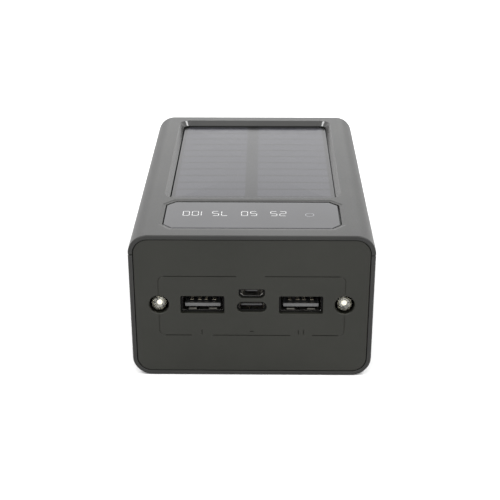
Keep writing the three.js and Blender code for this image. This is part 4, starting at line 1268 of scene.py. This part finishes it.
def largeSocket(side):
    # a cup with four spring leaves, a tongue on a heel that is near black for painted shade on its top, its
    # pale front edge and four contacts
    label = "left" if side < 0 else "right"
    low, high = nodeBox("usb_a_shell_" + label)
    centre = (low + high) / 2
    loop = growingRound((high[0] - low[0]) / 2, (high[2] - low[2]) / 2, socket["corner"], 5)
    profile = cupProfile(low[1], high[1], socket["wall"], socket["lip"])
    shell = carried("shell", loop, profile, backwards, (centre[0], 0, centre[2]))
    parts = [shell]
    for x in socket["fingerX"]:
        floor = low[2] + socket["wall"] - socket["fingerSunk"]
        ceiling = high[2] - socket["wall"] + socket["fingerSunk"]
        parts.append(springFinger("finger", (centre[0] + x, low[1], floor), 1))
        parts.append(springFinger("finger", (centre[0] + x, low[1], ceiling), -1))
    piece = joined("usb_shell_" + label, parts)
    # the shell and its leaves take the darkened steel: painted shade inside the opening
    finished(piece, finishes["shadeDarkSteel"], "plated_steel", "usb_a_shell_" + label)

    tongueLow, tongueHigh = nodeBox("usb_a_tongue_" + label)
    contactLow = nodeBox("usb_a_contact_" + label + "_1")[0]
    half = socket["tongueHalf"]
    thickness = socket["tongueThickness"]
    bladePlace = (centre[0], 0, contactLow[2] - socket["contactGap"] - thickness / 2)
    edge = socket["tongueEdge"]
    bladeProfile = roundedStart(edge, tongueLow[1]) + [(0, tongueHigh[1] - socket["heelOver"])]
    bladeLoop = growingRound(half, thickness / 2, socket["tongueCorner"], 4)
    blade = carried("blade", bladeLoop, bladeProfile, backwards, bladePlace)
    heel = blockOf("heel", (tongueLow[0], tongueHigh[1] - socket["heelDepth"], tongueLow[2]), tongueHigh)
    tongue = combine(blade, "UNION", heel)
    tongue.name = "usb_tongue_" + label
    # the tongue is near black, painted shade on its top inside the socket; only its front edge has the pale
    # tone
    finished(tongue, finishes["darkInsulatorAndShade"], "tongue_plastic", "usb_a_tongue_" + label)
    narrower, lower = socket["barInset"]
    barLoop = growingRound(half - narrower, thickness / 2 - lower, socket["barCorner"], 4)
    barProfile = [(out, tongueLow[1] + along) for out, along in socket["barSteps"]]
    bar = carried("usb_bar_" + label, barLoop, barProfile, backwards, bladePlace)
    finished(bar, finishes["tonguePlastic"], "tongue_plastic")
    for index in range(1, 5):
        usbContact("usb_a_contact_" + label + "_" + str(index))


def usbContact(node):
    # a leaf lying on the tongue, whose free front end springs up
    low, high = nodeBox(node)
    thickness = socket["leafThickness"]
    rise = (high[2] - low[2] - thickness) * np.array(socket["leafRise"])
    place = ((low[0] + high[0]) / 2, low[1], low[2])
    piece = leafStrip(node + "_leaf", place, socket["leafAlong"], rise, (high[0] - low[0]) / 2, thickness)
    return finished(piece, finishes["goldContact"], "gold_contact", node)


largeSocket(-1)
largeSocket(1)
print("large sockets made")


# Small sockets

smallSocket = {
    "reversibleWall": 0.3,
    "microWall": 0.28,
    "lip": 0.1,
    "tongueEdge": 0.12,
    "reversibleCorner": 0.25,
    "microCorner": 0.15,
    "microInset": 0.1,  # how much the micro tongue narrows at its front, on each side
    "padCount": 12,
    "padSpan": 2.75,  # the outermost pads, from the middle
    "padWidth": 0.26,
    "padAlong": (0.45, 3.8),
    "padThickness": 0.03,
}


def reversibleSocket():
    # a cup with a thin tongue in its middle and a row of pads on each side of the tongue
    low, high = reversibleLow, reversibleHigh
    loop = stadiumAt(high[0] - low[0], high[2] - low[2])
    profile = cupProfile(low[1], high[1], smallSocket["reversibleWall"], smallSocket["lip"])
    shell = carried("usb_c_ring", loop, profile, backwards, (0, 0, reversibleZ))
    # the shell takes the darkened steel: painted shade inside the opening
    finished(shell, finishes["shadeDarkSteel"], "plated_steel", "usb_c_shell")
    tongueLow, tongueHigh = nodeBox("usb_c_tongue")
    profile = roundedStart(smallSocket["tongueEdge"], tongueLow[1]) + [(0, tongueHigh[1])]
    half = (tongueHigh - tongueLow) / 2
    bladeLoop = growingRound(half[0], half[2], smallSocket["reversibleCorner"], 4)
    blade = carried("usb_c_blade", bladeLoop, profile, backwards, (0, 0, reversibleZ))
    finished(blade, finishes["darkInsulatorAndShade"], "dark_insulator", "usb_c_tongue")
    pads = []
    wide = smallSocket["padWidth"] / 2
    start, end = tongueLow[1] + np.array(smallSocket["padAlong"])
    thick = smallSocket["padThickness"]
    for x in np.linspace(-smallSocket["padSpan"], smallSocket["padSpan"], smallSocket["padCount"]):
        for level in (reversibleZ + half[2], reversibleZ - half[2] - thick):
            pads.append(blockOf("pad", (x - wide, start, level), (x + wide, end, level + thick)))
    piece = joined("usb_c_pads", pads)
    finished(piece, finishes["goldContact"], "gold_contact")


def microSocket():
    # a cup with two cut corners and a thin tongue
    low, high = microLow, microHigh
    loop = microLoop(high[0] - low[0], high[2] - low[2])
    profile = cupProfile(low[1], high[1], smallSocket["microWall"], smallSocket["lip"])
    shell = carried("micro_ring", loop, profile, backwards, (0, 0, microZ))
    # the shell takes the darkened steel: painted shade inside the opening
    finished(shell, finishes["shadeDarkSteel"], "plated_steel", "micro_usb_shell")
    tongueLow, tongueHigh = nodeBox("micro_usb_tongue")
    half = (tongueHigh - tongueLow) / 2
    middle = (tongueHigh + tongueLow) / 2
    inset = smallSocket["microInset"]
    full = tongueLow[1] + smallSocket["tongueEdge"]
    profile = [(-inset, tongueLow[1]), (0, full), (0, tongueHigh[1])]
    bladeLoop = growingRound(half[0], half[2], smallSocket["microCorner"], 4)
    blade = carried("micro_blade", bladeLoop, profile, backwards, (0, 0, middle[2]))
    finished(blade, finishes["darkInsulatorAndShade"], "dark_insulator", "micro_usb_tongue")


reversibleSocket()
microSocket()
print("small sockets made")


# Torch lights: a clear lens over a silvered cup with a die whose faint glow paints a highlight in the lens

torch = {
    "flangeOut": 0.16,
    "flangeDepth": 1.0,
    "reach": 0.1,  # how far the lens stands further out than its node
    "cupOuter": 1.75,
    "cupInner": 0.6,
    "cupDepth": 1.0,
    "cupRim": 0.2,
    "cupBase": 0.5,
    "cupFrom": 2.1,
    "dieRadius": 0.55,
    "dieHeight": 0.7,  # as a share of its radius
    "dieDrop": 0.35,  # how far the die sits below the lens's axis
    "poleAngle": 0.02,  # the small flat at the tip of a dome
}


def torchLens(side):
    # the lens is half a ball, radius x sin across and radius x (1 - cos) along, on a cylinder
    label = "left" if side < 0 else "right"
    low, high = nodeBox("torch_led_" + label)
    x = (low[0] + high[0]) / 2
    flange = (high[0] - low[0]) / 2
    radius = flange - torch["flangeOut"]
    tip = low[1] - torch["reach"]
    profile = [(radius * math.sin(a) - radius, tip + radius * (1 - math.cos(a)))
               for a in np.linspace(torch["poleAngle"], math.pi / 2, 20)]
    profile += [(0, high[1] - torch["flangeDepth"]), (torch["flangeOut"], high[1] - torch["flangeDepth"]),
                (torch["flangeOut"], high[1])]
    lens = carried("torch_lens_" + label, circleLoop(radius, 48), profile, backwards, (x, 0, torchZ))
    finished(lens, finishes["clearEpoxy"], "torch_lens", "torch_led_" + label)

    start = tip + torch["cupFrom"]
    depth = torch["cupDepth"]
    outer = torch["cupOuter"]
    inner = torch["cupInner"]
    cupLoop = circleLoop(1.0, 40)
    bowl = [(inner - 1 + (outer - inner) * math.sin(a), start + depth * math.cos(a))
            for a in np.linspace(0, math.pi / 2, 8)]
    rim = outer - 1 + torch["cupRim"]
    base = start + depth + torch["cupBase"]
    back = [(rim, start), (rim, base), (inner - 1, base)]
    cup = carried("torch_cup_" + label, cupLoop, bowl + back, backwards, (x, 0, torchZ))
    finished(cup, finishes["cupSilver"], "torch_lens")
    dieY = start + depth
    dieRadius = torch["dieRadius"]
    dome = [(dieRadius * math.sin(a) - 1, dieY - dieRadius * torch["dieHeight"] * math.cos(a))
            for a in np.linspace(torch["poleAngle"], math.pi / 2, 8)]
    # the die's faint glow is a painted highlight
    die = carried("torch_die_" + label, cupLoop, dome, backwards, (x, 0, torchZ - torch["dieDrop"]))
    finished(die, finishes["dieYellow"], "led_package")


torchLens(-1)
torchLens(1)
print("torch lights made")


# Everything that stays as the frame has it gets its material

carriedOver = {
    "solar_board": "circuitBoard",
    "solar_cells": "darkInsulatorAndShade",
    "panel_adhesive": "foamTape",
    "light_mask": "maskPlastic",
    "display_board": "circuitBoard",
    "gauge_led": "ledResin",
    "main_board": "circuitBoard",
    "board_screw": "platedSteel",
    "power_inductor": "ferriteGrey",
    "controller_chip": "chipResin",
    "switch_body": "darkInsulatorAndShade",
    "switch_plunger": "tonguePlastic",
    "torch_lead": "platedSteel",
    "battery_cell": "pouchFoil",
    "battery_strip": "nickelStrip",
    "battery_lead_red": "redWire",
    "battery_lead_black": "blackWire",
    "solar_lead_red": "redWire",
    "solar_lead_black": "blackWire",
    "display_cable": "flatCable",
}
for name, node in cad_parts.items():
    found = [finish for start, finish in carriedOver.items() if name.startswith(start)]
    if found:
        node.data.materials.clear()
        node.data.materials.append(finishes[found[0]])
print("frame nodes finished")


# Floor, light and camera

stage = {
    "floorHalf": 6000.0,
    "floorDrop": 0.05,
    "floorDark": (0.60, 0.60, 0.60),
    "floorLight": (0.62, 0.62, 0.62),
    "floorCloud": 3,
    "floorRoughness": 0.8,
    "floorShine": 0.1,
    "sky": 2.0,
    "horizon": 0.5,  # share of the sky's strength
    "skyFrom": 0.36,  # height at which the sky has its full strength
}


def floorMaterial():
    # pale and matt, with a faint cloud
    material, tree, shader, place = newMaterial("paleFloor")
    cloud = grain(tree, place, stage["floorCloud"])
    tone = tinted(tree, cloud, stage["floorDark"], stage["floorLight"])
    tree.links.new(tone, shader.inputs["Base Color"])
    shader.inputs["Roughness"].default_value = stage["floorRoughness"]
    shader.inputs["Specular IOR Level"].default_value = stage["floorShine"]
    return material


def floorPlane():
    # one large square a little below the part
    half = stage["floorHalf"]
    level = -stage["floorDrop"]
    points = [(-half, -half, level), (half, -half, level), (half, half, level), (-half, half, level)]
    floor = pieceFrom("floor", points, [[0, 1, 2, 3]])
    floor.data.materials.append(floorMaterial())


# places and sizes in metres, power in watts
lamps = {
    "left": {"place": (-0.95, -0.4, 1.65), "aim": (0.0, -0.1, 0.0), "size": (0.7, 0.7), "power": 21},
    "right": {"place": (0.95, -0.4, 1.65), "aim": (0.0, -0.1, 0.0), "size": (0.7, 0.7), "power": 21},
    "back": {"place": (0.0, 2.5, 0.3), "aim": (0.0, 0.0, 0.05), "size": (1.1, 0.5), "power": 6},
}


def softLamp(name, lamp):
    # a rectangle of light at its place, turned to face its aim
    light = bpy.data.lights.new(name, "AREA")
    light.shape = "RECTANGLE"
    light.size, light.size_y = lamp["size"]
    light.energy = lamp["power"]
    holder = bpy.data.objects.new(name, light)
    bpy.context.scene.collection.objects.link(holder)
    way = Vector(lamp["aim"]) - Vector(lamp["place"])
    turn = way.to_track_quat("-Z", "Y").to_matrix().to_4x4()
    holder.matrix_world = Matrix.Translation(lamp["place"]) @ turn


def skyLight():
    # an even white sky that is dimmer towards the horizon
    world = bpy.data.worlds.new("studio")
    world.use_nodes = True
    paintedGlow = world.node_tree.nodes["Background"]
    paintedGlow.inputs["Color"].default_value = (1, 1, 1, 1)
    tree = world.node_tree
    split = tree.nodes.new("ShaderNodeSeparateXYZ")
    tree.links.new(tree.nodes.new("ShaderNodeTexCoord").outputs["Generated"], split.inputs["Vector"])
    low = stage["sky"] * stage["horizon"]
    rise = spread(tree, split.outputs["Z"], low, stage["sky"], 0.0, stage["skyFrom"])
    tree.links.new(rise, paintedGlow.inputs["Strength"])
    bpy.context.scene.world = world


view = {
    "distance": 307.9,  # in front of the case
    "x": 3.74,
    "z": 188.45,
    "yaw": -0.0138,  # turns in radians
    "pitch": 0.4378,
    "roll": -0.0018,
    "lens": 80.35,
}


def studioCamera():
    # ahead and right come from yaw and pitch, up from both, and roll turns right towards up
    yaw, pitch, roll = view["yaw"], view["pitch"], view["roll"]
    ahead = Vector((math.sin(yaw) * math.cos(pitch), math.cos(yaw) * math.cos(pitch), -math.sin(pitch)))
    right = Vector((math.cos(yaw), -math.sin(yaw), 0))
    up = right.cross(ahead)
    rightward = right * math.cos(roll) + up * math.sin(roll)
    upward = up * math.cos(roll) - right * math.sin(roll)
    camera = bpy.data.cameras.new("camera")
    camera.lens = view["lens"]
    camera.sensor_width = 36
    camera.clip_start = 0.01
    holder = bpy.data.objects.new("camera", camera)
    bpy.context.scene.collection.objects.link(holder)
    place = Vector((view["x"], -halfLength - view["distance"], view["z"])) * mm
    turn = Matrix((rightward, upward, -ahead)).transposed().to_4x4()
    holder.matrix_world = Matrix.Translation(place) @ turn
    bpy.context.scene.camera = holder


floorPlane()
for name, lamp in lamps.items():
    softLamp(name, lamp)
skyLight()
studioCamera()
bpy.context.scene.view_settings.view_transform = "Standard"
print("stage set")
